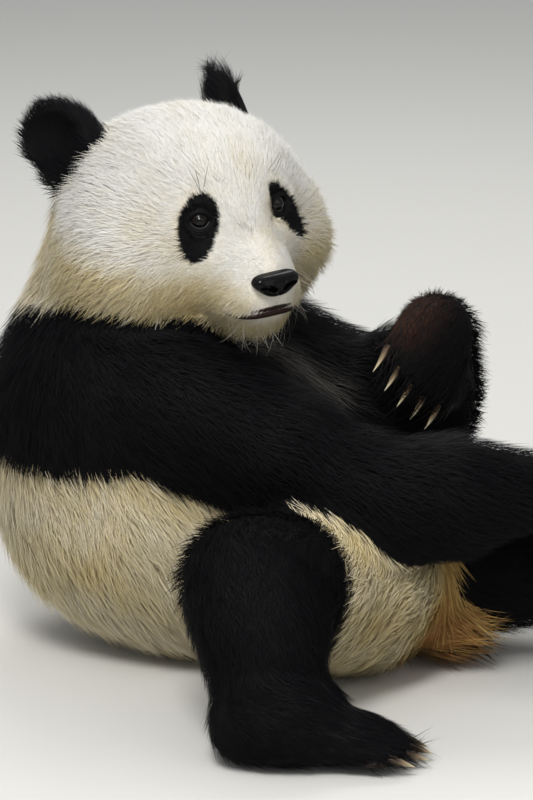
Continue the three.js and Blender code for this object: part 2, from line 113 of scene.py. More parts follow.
camera = {
    "azimuth": -70.0,
    "elevation": 15.0,
    "distance": 5.5,
    "lens": 212.9,
    "sensor": 36.0,
    "aim": (0.0665, 0.1510, 0.3154),
}
studio = {
    "floor": 30.0,
    "floorColour": "#d8d6d0",
    "grain": 900.0,  # per metre, so 1.1 mm wide: real paper's is finer and would not show
    "worldColour": "#eef1f5",
    "worldStrength": 0.50,
    # each softbox: azimuth, elevation, distance, size, watts
    "softboxes": {
        "key": (-100, 58, 3.4, 2.2, 22),
        "fill": (-30, 28, 4.2, 2.6, 20),
        "rim": (110, 48, 3.6, 1.8, 50),
        "spark": (-84, 48, 3.0, 0.9, 62),  # the small light in the eyes
    },
}


def linear(hexColour):
    parts = [int(hexColour[i : i + 2], 16) / 255 for i in (1, 3, 5)]
    return tuple(((p + 0.055) / 1.055) ** 2.4 if p > 0.04045 else p / 12.92 for p in parts) + (1.0,)


# Adds a node with its settings, the stops of its colour ramp and its sockets, and gives one of its outputs. A socket
# takes a value, a colour in hex, the name of an attribute of the mesh, or the output of another node.
def addNode(material, kind, sockets, output=0, stops=(), **settings):
    node = material.node_tree.nodes.new("ShaderNode" + kind)
    for name, value in settings.items():
        setattr(node, name, value)
    for name, value in sockets.items():
        if isinstance(value, str) and not value.startswith("#"):
            value = addNode(material, "Attribute", {}, "Fac", attribute_name=value)
        if isinstance(value, bpy.types.NodeSocket):
            material.node_tree.links.new(value, node.inputs[name])
        else:
            node.inputs[name].default_value = linear(value) if isinstance(value, str) else value
    if stops:
        for place, _ in stops[1:-1]:
            node.color_ramp.elements.new(place)
        for element, (place, colour) in zip(node.color_ramp.elements, stops):
            element.position = place
            element.color = linear(colour)
    return node if output is None else node.outputs[output]


# A Mix node for colours: socket 0 is the share, 6 and 7 are the colours, and output 2 is what they give.
mixed = {"output": 2, "data_type": "RGBA"}
multiplied = {"output": 2, "data_type": "RGBA", "blend_type": "MULTIPLY"}


def newMaterial(name):
    material = bpy.data.materials.new(name)
    material.use_nodes = True
    material.node_tree.nodes.clear()
    return material


# Ends a material with its reliefs, coarse before fine, each a height, a strength and a depth in metres, and with the
# sockets of its surface.
def finishMaterial(material, reliefs, sockets):
    normal = {}
    for height, strength, distance in reliefs:
        normal = {"Normal": addNode(material, "Bump", {
            "Height": height, "Strength": strength, "Distance": distance, **normal})}
    shader = addNode(material, "BsdfPrincipled", {**sockets, **normal})
    addNode(material, "OutputMaterial", {"Surface": shader}, None)
    return material


# Puts a camera or a lamp round a point, at an azimuth and elevation in degrees, and turns it to the point.
def addAround(point, azimuth, elevation, distance, data):
    turn, lift = math.radians(azimuth), math.radians(elevation)
    away = Vector((math.sin(turn) * math.cos(lift), -math.cos(turn) * math.cos(lift), math.sin(lift)))
    thing = bpy.data.objects.new(data.name, data)
    thing.location = Vector(point) + away * distance
    thing.rotation_euler = (-away).to_track_quat("-Z", "Y").to_euler()
    scene.collection.objects.link(thing)
    return thing


def addCamera():
    data = bpy.data.cameras.new("camera")
    data.lens = camera["lens"]
    data.sensor_width = camera["sensor"]
    data.clip_end = 100
    scene.camera = addAround(camera["aim"], camera["azimuth"], camera["elevation"], camera["distance"], data)


def addStudio():
    deselectAll()
    bpy.ops.mesh.primitive_plane_add(size=studio["floor"], location=(0, 0, 0))
    floor = bpy.context.object
    floor.name = "floor"
    paper = newMaterial("seamlessPaper")  # matt studio paper: an even pale ground
    grain = addNode(paper, "TexNoise", {"Scale": studio["grain"], "Detail": 3.0})
    floor.data.materials.append(finishMaterial(paper, [(grain, 0.05, 0.001)], {
        "Base Color": studio["floorColour"], "Roughness": 0.9}))
    middle = (Vector(cadBox[0]) + Vector(cadBox[1])) / 2
    for name, (azimuth, elevation, distance, size, watts) in studio["softboxes"].items():
        data = bpy.data.lights.new(name, "AREA")
        data.size = size
        data.energy = watts
        addAround(middle, azimuth, elevation, distance, data)
    world = bpy.data.worlds.new("studio")
    scene.world = world
    world.use_nodes = True
    background = world.node_tree.nodes["Background"]
    background.inputs["Color"].default_value = linear(studio["worldColour"])
    background.inputs["Strength"].default_value = studio["worldStrength"]
    scene.view_settings.view_transform = "Standard"
    scene.view_settings.look = "None"


addCamera()
addStudio()
report("camera, light and floor")

# The head's own axes: +X its left, -Y forward, +Z up, in metres from the middle of the skull.

head = {
    "left": (0.781, -0.62, 0.075),
    "back": (0.609, 0.785, 0.12),
    "eyeAt": (0.050, -0.097, 0.012),  # the left eye, in the head's axes
    # middles and radii of the masses under the coat of the skull, and how softly they join
    "masses": [
        ((0, 0.016, 0.006), (0.134, 0.118, 0.098)),
        ((0, -0.044, 0.022), (0.090, 0.072, 0.064)),
        ((0.088, -0.014, -0.052), (0.077, 0.090, 0.079)),
        ((-0.088, -0.014, -0.052), (0.077, 0.090, 0.079)),
        ((0, -0.016, -0.090), (0.122, 0.092, 0.055)),
    ],
    "soft": 0.038,
    "neck": [(0.1235, 0.3653, 0.335), (0.1495, 0.3393, 0.470)],  # its line, in the frame
    "neckRadii": [0.128, 0.112],
    "neckSoft": 0.080,
    "flare": 0.036,  # how far the head may spread on to the neck
}
headY = unit(head["back"])
headX = unit(np.array(head["left"]) - headY * np.dot(head["left"], headY))
headZ = np.cross(headX, headY)
headAxes = np.array([headX, headY, headZ])
eyesMiddle = (centre("eye_right") + centre("eye_left")) / 2
headAt = eyesMiddle - headY * head["eyeAt"][1] - headZ * head["eyeAt"][2]


def toHead(points):
    return (np.asarray(points, float) - headAt) @ headAxes.T


def fromHead(points):
    return np.asarray(points, float) @ headAxes + headAt


def turnFromHead(vectors):
    return np.asarray(vectors, float) @ headAxes


eyes = {
    "radius": 0.0118,
    "gaze": (0.42, -0.90, 0.03),  # of the left eye
    "cornea": 0.0010,  # how far it stands out, within the next angle of the gaze
    "corneaAngle": 38.0,
    "opening": (0.0112, 0.0092, 0.0074),  # half its width, and its height above and below the middle
    "pointed": 0.30,
    "reach": 0.0175,  # where the lids meet the skin
    "bulge": 0.0012,
    "foldHeight": 0.00035,
    "hole": (0.0150, 0.0112),  # the skin turns in between these distances from the gaze
    "lidHairs": 1500,
    "lidHairWidth": 0.00028,
    "lidHairLength": (0.0045, 0.0045),  # at the edge of the lids, and how much more away from it
}


# Across to the animal's left, up, and out along the gaze.
def eyeAxes(side):
    out = unit(turnFromHead(np.array(eyes["gaze"]) * (side, 1, 1)))
    across = unit(np.cross(headZ, out))
    return across, np.cross(out, across), out


def eyeAt(side):
    return fromHead(np.array(head["eyeAt"]) * (side, 1, 1))


# Points of the head, each as if it were on the left side.
def onLeft(local):
    return np.column_stack([np.abs(local[:, 0]), local[:, 1:]])


# Distance outside an egg, and outside masses that join softly.
def outsideEgg(points, middle, radii):
    part = (points - np.array(middle)) / radii
    reach = np.linalg.norm(part, axis=1)
    return reach * (reach - 1) / np.maximum(np.linalg.norm(part / radii, axis=1), 1e-9)


def softJoin(one, other, soft):
    meet = np.maximum(soft - np.abs(one - other), 0)
    return np.minimum(one, other) - meet * meet / soft / 4


def outsideMasses(points, masses, soft):
    total = outsideEgg(points, *masses[0])
    for middle, radii in masses[1:]:
        total = softJoin(total, outsideEgg(points, middle, radii), soft)
    return total


# How far points are from a line between two ends, and how far along it each is, from 0 to 1.
def fromLine(points, start, end):
    part = np.clip((points - start) @ (end - start) / np.dot(end - start, end - start), 0, 1)
    return np.linalg.norm(points - start - part[:, None] * (end - start), axis=1), part


def outsideNeck(points, start, end):
    gap, part = fromLine(points, start, end)
    return gap - (head["neckRadii"][0] * (1 - part) + head["neckRadii"][1] * part)


def outsideSkull(local):
    total = outsideMasses(local, head["masses"], head["soft"])
    neck = outsideNeck(local, *toHead(head["neck"]))
    return np.maximum(softJoin(total, neck, head["neckSoft"]), total - head["flare"])


def outsideTail(points):
    return outsideEgg(points, tailCore["middle"], tailCore["radii"])


# Distance outside the head and the trunk together, as they meet round the neck.
def outsideHeadAndTrunk(points):
    total = outsideMasses(points - trunk["at"], trunk["masses"], trunk["soft"])
    neck = outsideNeck(points, *np.array(head["neck"]))
    return np.minimum(softJoin(total, neck, trunk["soft"]), outsideSkull(toHead(points)))


# Draws the points that stand outside a mass back on to it, and those inside as well where both is set.
def drawnOnto(points, outside, rounds=6, both=False):
    points = points.copy()
    step = 1e-4
    for _ in range(rounds):
        gap = outside(points)
        slope = np.stack([(outside(points + step * np.eye(3)[k]) - gap) / step for k in range(3)], axis=1)
        points -= (gap if both else np.maximum(gap, 0))[:, None] * unit(slope)
    return points


# The skin.

# Each part of the body: how deep its coat is, in metres, and the parts before and after it that its hair runs
# from and to.
body = {
    "head": (0.009, None, None),
    "eye_patch_right": (0.004, None, None),
    "eye_patch_left": (0.004, None, None),
    "lips": (0.003, None, None),
    "ear_right": (0.006, None, None),
    "ear_left": (0.006, None, None),
    "neck": (0.012, "head", "chest"),
    "chest": (0.012, "neck", "rump"),
    "belly": (0.012, "neck", "rump"),
    "rump": (0.012, "neck", "rump"),
    "tail": (0.017, "rump", "tail"),
    "hip_right": (0.012, "rump", "thigh_right"),
    "thigh_right": (0.0105, "hip_right", "shin_right"),
    "shin_right": (0.009, "thigh_right", "foot_right"),
    "foot_right": (0.006, "foot_right", "foot_claw_right_3"),
    "hip_left": (0.012, "rump", "thigh_left"),
    "thigh_left": (0.0105, "hip_left", "shin_left"),
    "shin_left": (0.009, "thigh_left", "foot_left"),
    "foot_left": (0.006, "foot_left", "foot_claw_left_3"),
    "upper_arm_right": (0.0115, "upper_arm_right", "forearm_right"),
    "forearm_right": (0.0105, "upper_arm_right", "hand_right"),
    "hand_right": (0.006, "hand_right", "hand_claw_right_3"),
    "upper_arm_left": (0.0115, "upper_arm_left", "forearm_left"),
    "forearm_left": (0.0105, "upper_arm_left", "hand_left"),
    "hand_left": (0.006, "hand_left", "hand_claw_left_3"),
}
bodyNames = list(body)
pawNames = [name for name in bodyNames if name.startswith(("hand", "foot"))]
skinSize = {
    "voxel": 0.005,
    "smooth": 8,
    "steps": 8,  # in which it is sunk by the depth of the coat
    "finalVoxel": 0.0048,
    "finalSmooth": 4,
    "socketBall": 0.0162,
    "fin": 0.0032,  # what stands out further than this is a fin
}
tailCore = {"middle": (0.1135, -0.0407, 0.048), "radii": (0.054, 0.074, 0.048)}
# the masses of the trunk, from the floor under the pelvis
trunk = {
    "at": (0.1195, 0.0053, 0),
    "masses": [
        ((0, 0.062, 0.112), (0.165, 0.150, 0.116)),
        ((0, 0.190, 0.150), (0.205, 0.190, 0.165)),
        ((0, 0.300, 0.192), (0.214, 0.200, 0.198)),
        ((0, 0.335, 0.275), (0.178, 0.165, 0.138)),
        ((0, 0.215, 0.290), (0.125, 0.105, 0.092)),
        ((0.118, 0.300, 0.325), (0.084, 0.120, 0.104)),
        ((-0.118, 0.300, 0.325), (0.084, 0.120, 0.104)),
    ],
    "soft": 0.060,
}


def partNumbers(*names):
    return [bodyNames.index(name) for name in names]


def meshArrays(mesh):
    points = np.empty(len(mesh.vertices) * 3)
    mesh.vertices.foreach_get("co", points)
    mesh.calc_loop_triangles()
    corners = np.empty(len(mesh.loop_triangles) * 3, int)
    mesh.loop_triangles.foreach_get("vertices", corners)
    edges = np.empty(len(mesh.edges) * 2, int)
    mesh.edges.foreach_get("vertices", edges)
    return points.reshape(-1, 3), corners.reshape(-1, 3), edges.reshape(-1, 2)


# The mean of each vertex's neighbours, mixed in over several rounds.
def spread(values, edges, rounds, share=0.5):
    count = len(values)
    start, end = edges.T
    degree = np.bincount(start, minlength=count) + np.bincount(end, minlength=count)
    values = np.array(values, float)
    columns = values.reshape(count, -1)
    share = np.broadcast_to(share, count)
    for _ in range(rounds):
        for k in range(columns.shape[1]):
            column = columns[:, k]
            near = np.bincount(start, column[end], count) + np.bincount(end, column[start], count)
            columns[:, k] += share * (near / np.maximum(degree, 1) - column)
    return values


def normalsOf(points, triangles):
    a, b, c = (points[triangles[:, k]] for k in range(3))
    faces = np.cross(b - a, c - a)
    total = np.zeros_like(points)
    for k in range(3):
        for axis in range(3):
            total[:, axis] += np.bincount(triangles[:, k], faces[:, axis], len(points))
    return unit(total)


def setPoints(piece, points):
    piece.data.vertices.foreach_set("co", np.asarray(points, float).ravel())
    piece.data.update()


# The number of the place that is nearest to each point.
def nearestOf(places, points):
    tree = KDTree(len(places))
    for number, place in enumerate(places):
        tree.insert(place, number)
    tree.balance()
    return np.array([tree.find(point)[1] for point in points])


def remesh(piece, size):
    makeActive(piece)
    piece.data.remesh_voxel_size = size
    bpy.ops.object.voxel_remesh()


def joinedCopy(names, name):
    deselectAll()
    for nodeName in names:
        nodes[nodeName].select_set(True)
    bpy.context.view_layer.objects.active = nodes[names[0]]
    bpy.ops.object.duplicate()
    bpy.ops.object.join()
    piece = bpy.context.object
    bpy.ops.object.parent_clear(type="CLEAR_KEEP_TRANSFORM")
    piece.name = name
    piece.data.name = name
    piece.data.materials.clear()
    for key in list(piece.keys()):
        del piece[key]
    bpy.ops.object.mode_set(mode="EDIT")
    bpy.ops.mesh.select_all(action="SELECT")
    bpy.ops.mesh.remove_doubles(threshold=1e-5)
    bpy.ops.object.mode_set(mode="OBJECT")
    return piece


# Which part of the body each point lies on.
def partsAt(points):
    corners, faces, owners = [], [], []
    for index, name in enumerate(bodyNames):
        own, triangles, _ = meshArrays(nodes[name].data)
        faces.append(triangles + sum(len(c) for c in corners))
        owners += [index] * len(triangles)
        corners.append(own)
    tree = BVHTree.FromPolygons(np.concatenate(corners).tolist(), np.concatenate(faces).tolist())
    return np.array([owners[tree.find_nearest(Vector(point))[2]] for point in points])


# How deep the coat is on the head: least round the nose, eyes and lips, most on the cheeks and nape.
def headDepth(points):
    local = toHead(points)
    fromNose = np.linalg.norm((local - (0, -0.165, -0.06)) / (1, 1, 0.9), axis=1)
    depth = 0.0020 + 0.0060 * smoothStep(0.02, 0.15, fromNose)
    cheek = smoothStep(0.03, 0.10, np.abs(local[:, 0])) * smoothStep(0.0, -0.07, local[:, 2])
    depth += 0.004 * cheek * smoothStep(-0.09, -0.02, local[:, 1])
    fromEye = np.linalg.norm(onLeft(local) - head["eyeAt"], axis=1)
    return depth * (0.25 + 0.75 * smoothStep(0.012, 0.06, fromEye))


# Smooths away the thin fins that sinking the skin leaves in tight places. Muzzle, brow and paws keep their form.
def smoothFins(points, edges, onPaw):
    calmed = spread(points, edges, 30)
    fins = np.linalg.norm(calmed - points, axis=1) > skinSize["fin"]
    fins &= np.linalg.norm(toHead(points) - (0, -0.16, -0.06), axis=1) > 0.07
    fins &= (toHead(points)[:, 2] < 0.03) & ~onPaw
    fins = np.minimum(spread(fins, edges, 10) * 4, 1)[:, None]
    return points + (spread(points, edges, 60, 0.6 * fins.ravel()) - points) * fins


# Turns the skin in round each eye, under the lids.
def openSockets(points):
    for side in (-1, 1):
        _, _, out = eyeAxes(side)
        fromEye = points - eyeAt(side)
        along = fromEye @ out
        aside = np.linalg.norm(fromEye - along[:, None] * out, axis=1)
        inward = smoothStep(*eyes["hole"], aside) * ((along > 0.001) & (along < 0.04))
        points = points - (inward * (along + 0.003))[:, None] * out
    return points


farEar = {
    "base": 0.012,  # how far its outer side moves out at the foot
    "lean": 0.005,  # how far its top moves in
    "slope": 0.022,  # how far its outer side comes down
    "rise": 0.013,  # how far its inner side goes up
}


# The far ear leans in: its outer side slopes up to a tip over its inner side.
def leanFarEar(points, onEar):
    ear = toHead(points)
    (left, _, bottom), (right, _, top) = (pick(ear[onEar > 0.9], axis=0) for pick in (np.min, np.max))
    outward = np.clip((ear[:, 0] - left) / (right - left), 0, 1)
    above = np.clip((ear[:, 2] - bottom) / (top - bottom), 0, 1)
    ear[:, 0] += onEar * (farEar["base"] * outward * (1 - above) - farEar["lean"] * above)
    ear[:, 2] += onEar * above * (
        farEar["rise"] * smoothStep(0.7, 0.0, outward) - farEar["slope"] * smoothStep(0.2, 1.0, outward))
    return fromHead(ear)


def makeSkin():
    skin = joinedCopy(bodyNames, "skin")
    points, _, _ = meshArrays(skin.data)
    parts = partsAt(points)
    local = toHead(points)
    ruff = (parts == bodyNames.index("head")) & (np.abs(local[:, 0]) > 0.055) & (local[:, 1] > -0.085)
    points[ruff] = fromHead(drawnOnto(local[ruff], outsideSkull))
    tail = parts == bodyNames.index("tail")
    points[tail] = drawnOnto(points[tail], outsideTail)
    setPoints(skin, points)
    for side in (-1, 1):  # a ball fills each eye's socket, so that the lids have skin under them
        bpy.ops.mesh.primitive_uv_sphere_add(segments=32, ring_count=20, radius=skinSize["socketBall"],
                                             location=eyeAt(side))
        skin.select_set(True)
        bpy.context.view_layer.objects.active = skin
        bpy.ops.object.join()
    remesh(skin, skinSize["voxel"])
    points, triangles, edges = meshArrays(skin.data)
    parts = partsAt(points)
    report(f"skin remeshed, {len(triangles)} triangles")
    onHead = np.isin(parts, partNumbers("head", "eye_patch_right", "eye_patch_left", "lips"))
    depth = np.array([body[name][0] for name in bodyNames])[parts]
    depth[onHead] = headDepth(points[onHead])
    depth = spread(depth, edges, 6)
    local = toHead(points)
    meeting = (parts == bodyNames.index("neck")) | onHead & (local[:, 1] > -0.085)
    meeting = meeting & (np.linalg.norm(local / (0.21, 0.21, 0.30), axis=1) < 1)
    meeting = spread(meeting * smoothStep(-0.02, -0.07, local[:, 2]), edges, 8)
    some = meeting > 0.01
    drawn = drawnOnto(points[some], outsideHeadAndTrunk, 10, both=True)
    points[some] += (drawn - points[some]) * smoothStep(0.05, 0.6, meeting[some])[:, None]
    calm = np.where(onHead, 0.35, 0.5)
    points = spread(points, edges, skinSize["smooth"], calm)
    for _ in range(skinSize["steps"]):
        points = points - normalsOf(points, triangles) * depth[:, None] / skinSize["steps"]
        points = spread(points, edges, 1, 0.25 * calm)
    setPoints(skin, points)
    sunk = points
    remesh(skin, skinSize["finalVoxel"])
    points, triangles, edges = meshArrays(skin.data)
    nearest = nearestOf(sunk, points)
    parts = parts[nearest]
    points = spread(points, edges, skinSize["finalSmooth"], 0.4)
    points = smoothFins(points, edges, np.isin(parts, partNumbers(*pawNames)))
    points = openSockets(points)
    points = leanFarEar(points, spread((parts == bodyNames.index("ear_left")).astype(float), edges, 6))
    setPoints(skin, points)
    return skin, points, triangles, edges, parts, spread(depth[nearest], edges, 3)


# Each paw: the way its palm or sole faces, and its pads as (along the paw, across it, half length, half width) from
# the middle of the paw, in metres.
paws = {
    "facing": {
        "hand_right": (0.25, -0.1, -1), "hand_left": (0.5, 0.8, -0.3),
        "foot_right": (0, 0, -1), "foot_left": (0.1, -1, -0.36),
    },
    "pads": [(-0.008, 0.0, 0.021, 0.038), (-0.050, 0.016, 0.014, 0.015)],
    "toePad": (0.011, 0.010),
    "toeBack": 0.014,  # from a claw's base to the middle of its toe's pad
    "clawHalf": 0.017,  # from a claw's middle to its base
    "reach": 0.13,  # pads lie no further than this from the middle of the paw
    "swell": 0.0035,
}


# How much of a pad each point is, from 0 to 1.
def padsAt(points, normals):
    share = np.zeros(len(points))
    for paw, facing in paws["facing"].items():
        limb, side = paw.split("_")
        claws = [centre(f"{limb}_claw_{side}_{number}") for number in range(1, 6)]
        way = unit(claws[2] - centre(paw))
        down = unit(np.array(facing) - way * np.dot(facing, way))
        across = np.cross(way, down)
        fromPaw = points - centre(paw)
        near = (np.linalg.norm(fromPaw, axis=1) < paws["reach"]) & (normals @ down > 0.25) & (fromPaw @ down > 0)
        spots = list(paws["pads"])
        for claw in claws:
            place = claw - centre(paw)
            spots.append((place @ way - paws["clawHalf"] - paws["toeBack"], place @ across) + paws["toePad"])
        for along, aside, long, wide in spots:
            reach = np.sqrt(((fromPaw @ way - along) / long) ** 2 + ((fromPaw @ across - aside) / wide) ** 2)
            share = np.maximum(share, near * smoothStep(1.15, 0.80, reach))
    return share


skin, skinPoints, skinTriangles, skinEdges, skinParts, skinDepth = makeSkin()
skinPads = padsAt(skinPoints, normalsOf(skinPoints, skinTriangles))
skinPoints = skinPoints + normalsOf(skinPoints, skinTriangles) * (skinPads * paws["swell"])[:, None]
setPoints(skin, skinPoints)
skinNormals = normalsOf(skinPoints, skinTriangles)
report(f"skin, {len(skinTriangles)} triangles")

# The lie, the length and the colour of the coat, at each point of the skin.

coat = {
    "seed": 11,
    "triangles": 1450000,  # of all the tufts together
    "rings": [0.30, 0.66],  # where a long tuft has its rings, from root to tip
    "shortRings": [0.42],
    "shortUnder": 0.060,  # hair shorter than this has the fewer rings
    "lengthOfDepth": 2.9,
    "earLength": 3.2,
    "pawLength": 3.6,
    "chinLength": 0.013,
    "jowlLength": 0.007,
    "raisedPawLength": 1.6,
    "farEarLean": (-0.9, 0.4, 0.8),  # its hair sweeps to a point
    "farEarLength": (0.14, 1.30),  # of its length, and how much more of it at the point
    "toeLength": {"hand": 2.3, "foot": 1.5},  # how much longer the hair gets over the claws
    "pawLift": 0.5,  # hair lies flatter on the paws
    "raisedPawLift": 1.4,
    "vary": 0.25,  # of its length
    "turn": 0.13,  # how far a tuft turns aside from the lie
    "headTurn": 0.22,
    "width": 0.00020,  # half a tuft's width, plus the next for each metre of length
    "widthOfLength": 0.0100,
    "headWidth": 0.82,
    "headDensity": 2.1,
    "rootDepth": 0.0015,
    "overFloor": 0.0003,
    "rootLift": 34.0,  # degrees off the skin
    "tipLift": 5.0,
    "clumpPull": 0.45,
    "headClumpPull": 0.32,
    "clumpShare": 0.035,  # the share of tufts that lead a clump
    "droop": 0.30,
    "rough": 0.16,  # how far the lie turns from place to place, in radians
    "edge": 0.22,  # how ragged the borders of the colours are
}
blackParts = [name for name in bodyNames
              if name.startswith(("ear", "chest", "thigh", "shin", "foot", "upper_arm", "forearm", "hand"))]
# the dark patch round each eye, as on the left side; its lower end leans out by the slant, in degrees
eyePatch = {
    "right": {"middle": (0.0581, -0.1107, 0.0075), "radii": (0.0237, 0.0281, 0.0433), "slant": 13.0},
    "left": {"middle": (0.0665, -0.0925, 0.0013), "radii": (0.0150, 0.0617, 0.0470), "slant": 34.0},
}
random = np.random.default_rng(coat["seed"])


def isPart(*names):
    return np.isin(skinParts, partNumbers(*names))


# A slow wave over the body, from a few sines with seeded directions, mostly between -1 and 1.
def waves(points, size, seed, count=7):
    draw = np.random.default_rng(seed)
    total = np.zeros(len(points))
    for _ in range(count):
        way = unit(draw.normal(size=3)) * 2 * math.pi / (size * draw.uniform(0.6, 1.6))
        total += np.sin(points @ way + draw.uniform(0, 2 * math.pi))
    return total / math.sqrt(count / 2) / 2


def alongSkin(vectors, normals):
    return unit(vectors - normals * np.sum(vectors * normals, axis=1, keepdims=True))


hairFlow = {
    "faceFrom": (0, -0.180, -0.030),  # the hair of the head runs out from here, in the head's axes
    "earFrom": (0.085, 0.045, -0.010),  # and that of the left ear from here
    "cheekFall": 0.75,  # how far it turns down on the cheeks and at the nape
    "napeFall": 0.7,
    "tail": (-0.15, -1.0, -0.25),
    "faceBlend": 0.06,  # how fast its ways blend on the face and elsewhere
    "blend": 0.5,
}


# The way the hair lies, and how level that way is with the skin, from 0 to 1.
def lieOfCoat():
    lie = np.zeros_like(skinPoints)
    local = toHead(skinPoints)
    for index, name in enumerate(bodyNames):
        _, before, after = body[name]
        here = skinParts == index
        if before is None:
            way = unit(local[here] - hairFlow["faceFrom"])
            cheek = smoothStep(0.04, 0.11, np.abs(local[here, 0])) * smoothStep(0.02, -0.05, local[here, 2])
            nape = smoothStep(-0.02, 0.09, local[here, 1])
            way[:, 2] -= hairFlow["cheekFall"] * cheek + hairFlow["napeFall"] * nape
            if name.startswith("ear"):
                side = -1 if name.endswith("right") else 1
                way = unit(local[here] - np.array(hairFlow["earFrom"]) * (side, 1, 1))
                if side > 0:
                    way = 0.35 * way + unit(coat["farEarLean"])
            fromEye = onLeft(local[here]) - head["eyeAt"]
            near = smoothStep(0.028, 0.017, np.linalg.norm(fromEye, axis=1))[:, None]
            fromEye[:, 0] *= np.sign(local[here][:, 0])
            way = way * (1 - near) + unit(fromEye) * near
            lie[here] = turnFromHead(way)
        elif name == "tail":
            lie[here] = unit(hairFlow["tail"])
        else:
            lie[here] = unit(centre(after) - centre(before))
            if name not in pawNames:
                lie[here] += np.array((0, 0, -coat["droop"]))
    onFace = np.linalg.norm(local - (0, -0.15, -0.02), axis=1) < 0.11
    lie = spread(lie, skinEdges, 45, np.where(onFace, hairFlow["faceBlend"], hairFlow["blend"]))
    level = np.linalg.norm(lie - skinNormals * np.sum(lie * skinNormals, axis=1, keepdims=True), axis=1)
    steady = smoothStep(0.10, 0.55, level / np.maximum(np.linalg.norm(lie, axis=1), 1e-9))
    steady[isPart("ear_right", "ear_left")] = 1
    lie = alongSkin(lie, skinNormals)
    turn = coat["rough"] * (waves(skinPoints, 0.10, 3) + 0.8 * waves(skinPoints, 0.045, 4))
    turn = np.where(isPart("head", "ear_left"), 0.5, 1.0) * turn
    return unit(lie * np.cos(turn)[:, None] + np.cross(skinNormals, lie) * np.sin(turn)[:, None]), steady


# How far inside the dark patch round an eye a point is: over 0 inside.
def insidePatch(local):
    inside = np.full(len(local), -1.0)
    for name, side in (("right", -1), ("left", 1)):
        patch = eyePatch[name]
        turn = math.radians(patch["slant"])
        out, forward, up = (local * (side, 1, 1) - patch["middle"]).T
        across = out * math.cos(turn) + up * math.sin(turn)
        upward = up * math.cos(turn) - out * math.sin(turn)
        width, depth, height = patch["radii"]
        width = width * (1 + 0.12 * np.clip(upward / height, -1, 1))
        inside = np.maximum(inside, 1 - np.sqrt((across / width) ** 2 + (forward / depth) ** 2
                                                + (upward / height) ** 2))
    return inside


def blackness(points, local, black):
    edge = coat["edge"] * (waves(points, 0.012, 6) * 0.6 + waves(points, 0.03, 7) * 0.5)
    black = black + edge * smoothStep(0.5, 0.3, np.abs(black - 0.5))
    patch = insidePatch(local) + 0.03 * waves(points, 0.010, 8)
    front = local[:, 1] < -0.05
    return np.maximum(black, np.where(front, 0.5 + 2.5 * patch, 0))


def awayFrom(points, stripe):
    return fromLine(points, np.array(stripe["from"]), np.array(stripe["to"]))[0]


# How far a point of the head is on the side of the muzzle and jaw, from 0 to 1.
def atJowl(local):
    return smoothStep(0.012, 0.05, np.abs(local[:, 0])) * smoothStep(-0.035, -0.075, local[:, 2])


colouring = {
    # warmth runs from ivory at 0 over cream and tan to red-brown at 1
    "warmth": {"head": 0.02, "neck": 0.36, "rump": 0.46, "hip_right": 0.46, "hip_left": 0.46, "belly": 0.38,
               "tail": 0.92},
    "warmthElsewhere": 0.20,
    # what it gains on the face, and the most that it has there
    "cheek": 0.28,
    "jowl": 0.36,
    "chin": 0.42,
    "faceMost": 0.46,
    "aboveNose": 0.10,  # what it loses there
    "underTail": 0.90,
    # shares of grey hair at the mouth, on the jowls and along the bridge of the nose
    "greyMouth": 0.55,
    "greyJowl": 0.26,
    "greyBridge": 0.20,
}
chestGrey = {"from": (0.100, 0.185, 0.372), "to": (0.160, 0.108, 0.296), "radius": 0.026}
browGrey = {"middle": (-0.005, -0.128, 0.004), "radii": (0.015, 0.03, 0.015), "most": 0.9}
wristBrown = {"from": (0.135, 0.012, 0.405), "to": (0.188, -0.004, 0.424), "radius": 0.030}


